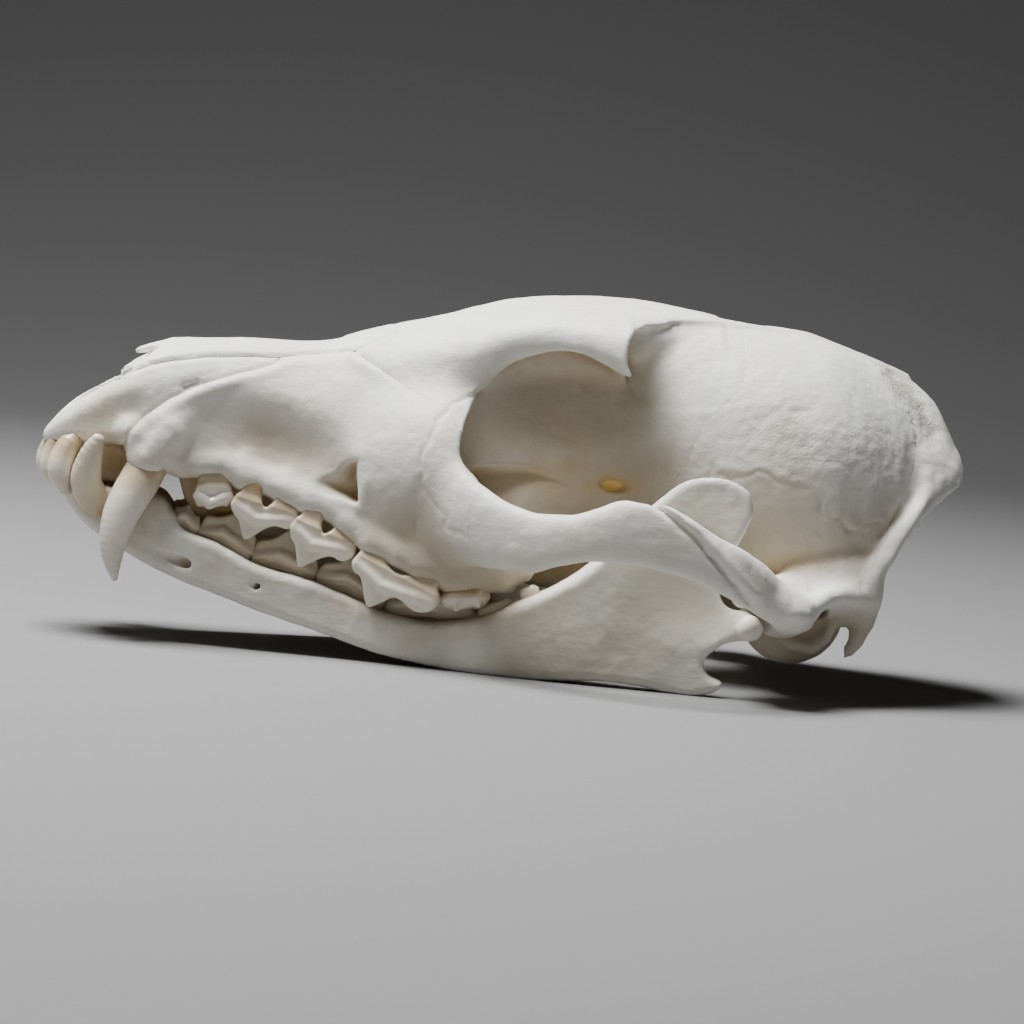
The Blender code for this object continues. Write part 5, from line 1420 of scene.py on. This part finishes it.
# The lower teeth get much browner ivory than the upper ones: painted shade, for they lie under the skull.
upper_enamel, lower_enamel = enamel_finish("enamel_upper", 0.15), enamel_finish("enamel_lower", 0.8)
for bone, piece in teeth.items():
    piece.data.materials.append(lower_enamel if bone.startswith("mandible") else upper_enamel)

# %% [markdown]
# ## Joining the model
#
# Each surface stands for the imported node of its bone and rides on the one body. The teeth ride
# with them.

# %% Replace the plain solids
for name, piece in bones.items():
    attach(piece, "root")
    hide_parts(name)
for name, piece in teeth.items():
    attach(piece, "root")
print("triangles:", sum(2 * len(piece.data.polygons) for piece in [*bones.values(), *teeth.values()]))

# %% [markdown]
# ## Studio
#
# A pale sheet of paper swept up behind the skull gives no horizon. A wide soft light above gives
# the bright top line and the shaded jaw, and a weak one near the camera fills the shadows.

# %% The swept paper
PAPER_FRONT, PAPER_FOLD, PAPER_RADIUS, PAPER_TOP = -2.5, 0.55, 0.6, 3.0
PAPER_HALF_WIDTH, PAPER_STEPS = 3.0, 24


def paper_sweep():
    """A floor that curves up into a wall behind the skull."""
    line = [(PAPER_FRONT, 0.0), (PAPER_FOLD, 0.0)]
    for step in range(1, PAPER_STEPS + 1):
        turn = math.radians(90 * step / PAPER_STEPS)
        line.append((PAPER_FOLD + PAPER_RADIUS * math.sin(turn),
                     PAPER_RADIUS - PAPER_RADIUS * math.cos(turn)))
    line.append((PAPER_FOLD + PAPER_RADIUS, PAPER_TOP))
    points = [(x, y, z) for y, z in line for x in (-PAPER_HALF_WIDTH, PAPER_HALF_WIDTH)]
    faces = [(2 * i, 2 * i + 1, 2 * i + 3, 2 * i + 2) for i in range(len(line) - 1)]
    mesh = bpy.data.meshes.new("paper")
    mesh.from_pydata(points, [], faces)
    mesh.shade_smooth()
    paper = bpy.data.objects.new("paper", mesh)
    bpy.context.scene.collection.objects.link(paper)
    return paper


paper = paper_sweep()
paper_finish = Finish("pale_paper")
paper_finish.finish((0.22, 0.22, 0.22), paper_finish.noise(1.5, 3) * 0.1 + 0.75)
paper.data.materials.append(paper_finish.material)


# %% Lights
SKULL_MIDDLE = Vector((0, 0, 0.03))
SKY_COLOUR, SKY_STRENGTH = (0.9, 0.93, 1.0, 1), 0.02


def softbox(name, place, size, watts, tint):
    """A square soft light that faces the skull."""
    lamp = bpy.data.lights.new(name, "AREA")
    lamp.energy, lamp.size, lamp.color = watts, size, tint
    box = bpy.data.objects.new(name, lamp)
    bpy.context.scene.collection.objects.link(box)
    box.location = place
    box.rotation_euler = (SKULL_MIDDLE - Vector(place)).to_track_quat("-Z", "Y").to_euler()


softbox("top_light", (-0.16, 0.0, 0.49), 0.24, 8.4, (1.0, 1.0, 1.0))
softbox("fill_light", (-0.55, -0.75, 0.35), 0.5, 0.04, (1.0, 0.97, 0.93))
world = bpy.data.worlds.new("studio")
world.use_nodes = True
sky = world.node_tree.nodes["Background"].inputs
sky["Color"].default_value, sky["Strength"].default_value = SKY_COLOUR, SKY_STRENGTH
bpy.context.scene.world = world

# %% [markdown]
# ## Camera
#
# The photograph was taken from the fox's left, a little ahead of and above the skull, with a
# long lens. The camera is set in the photograph's frame and then laid down with the skull.

# %% The photograph's camera
TARGET = Vector((0.84, 0, 26.65))
YAW, ELEVATION, DISTANCE = math.radians(6), math.radians(5), 550
SENSOR, LENS = 36, 119.9
forward = Vector((math.sin(YAW) * math.cos(ELEVATION), math.cos(YAW) * math.cos(ELEVATION),
                  -math.sin(ELEVATION)))
right = Vector((math.cos(YAW), -math.sin(YAW), 0))
above = right.cross(forward)


def laid(point):
    """A point of the photograph's frame, where it is on the floor, in metres."""
    return Vector(lay_down([tuple(point)])[0]) * MM


def laid_way(way):
    """A direction of the photograph's frame, turned with the skull."""
    return (laid(way) - laid((0, 0, 0))).normalized()


camera = bpy.data.objects.new("camera", bpy.data.cameras.new("camera"))
bpy.context.scene.collection.objects.link(camera)
camera.data.sensor_width, camera.data.lens = SENSOR, LENS
camera.data.clip_start = 0.01
turned = Matrix((laid_way(right), laid_way(above), -laid_way(forward))).transposed().to_4x4()
turned.translation = laid(TARGET - DISTANCE * forward)
camera.matrix_world = turned
bpy.context.scene.camera = camera
print("camera at", [round(c, 3) for c in camera.location])
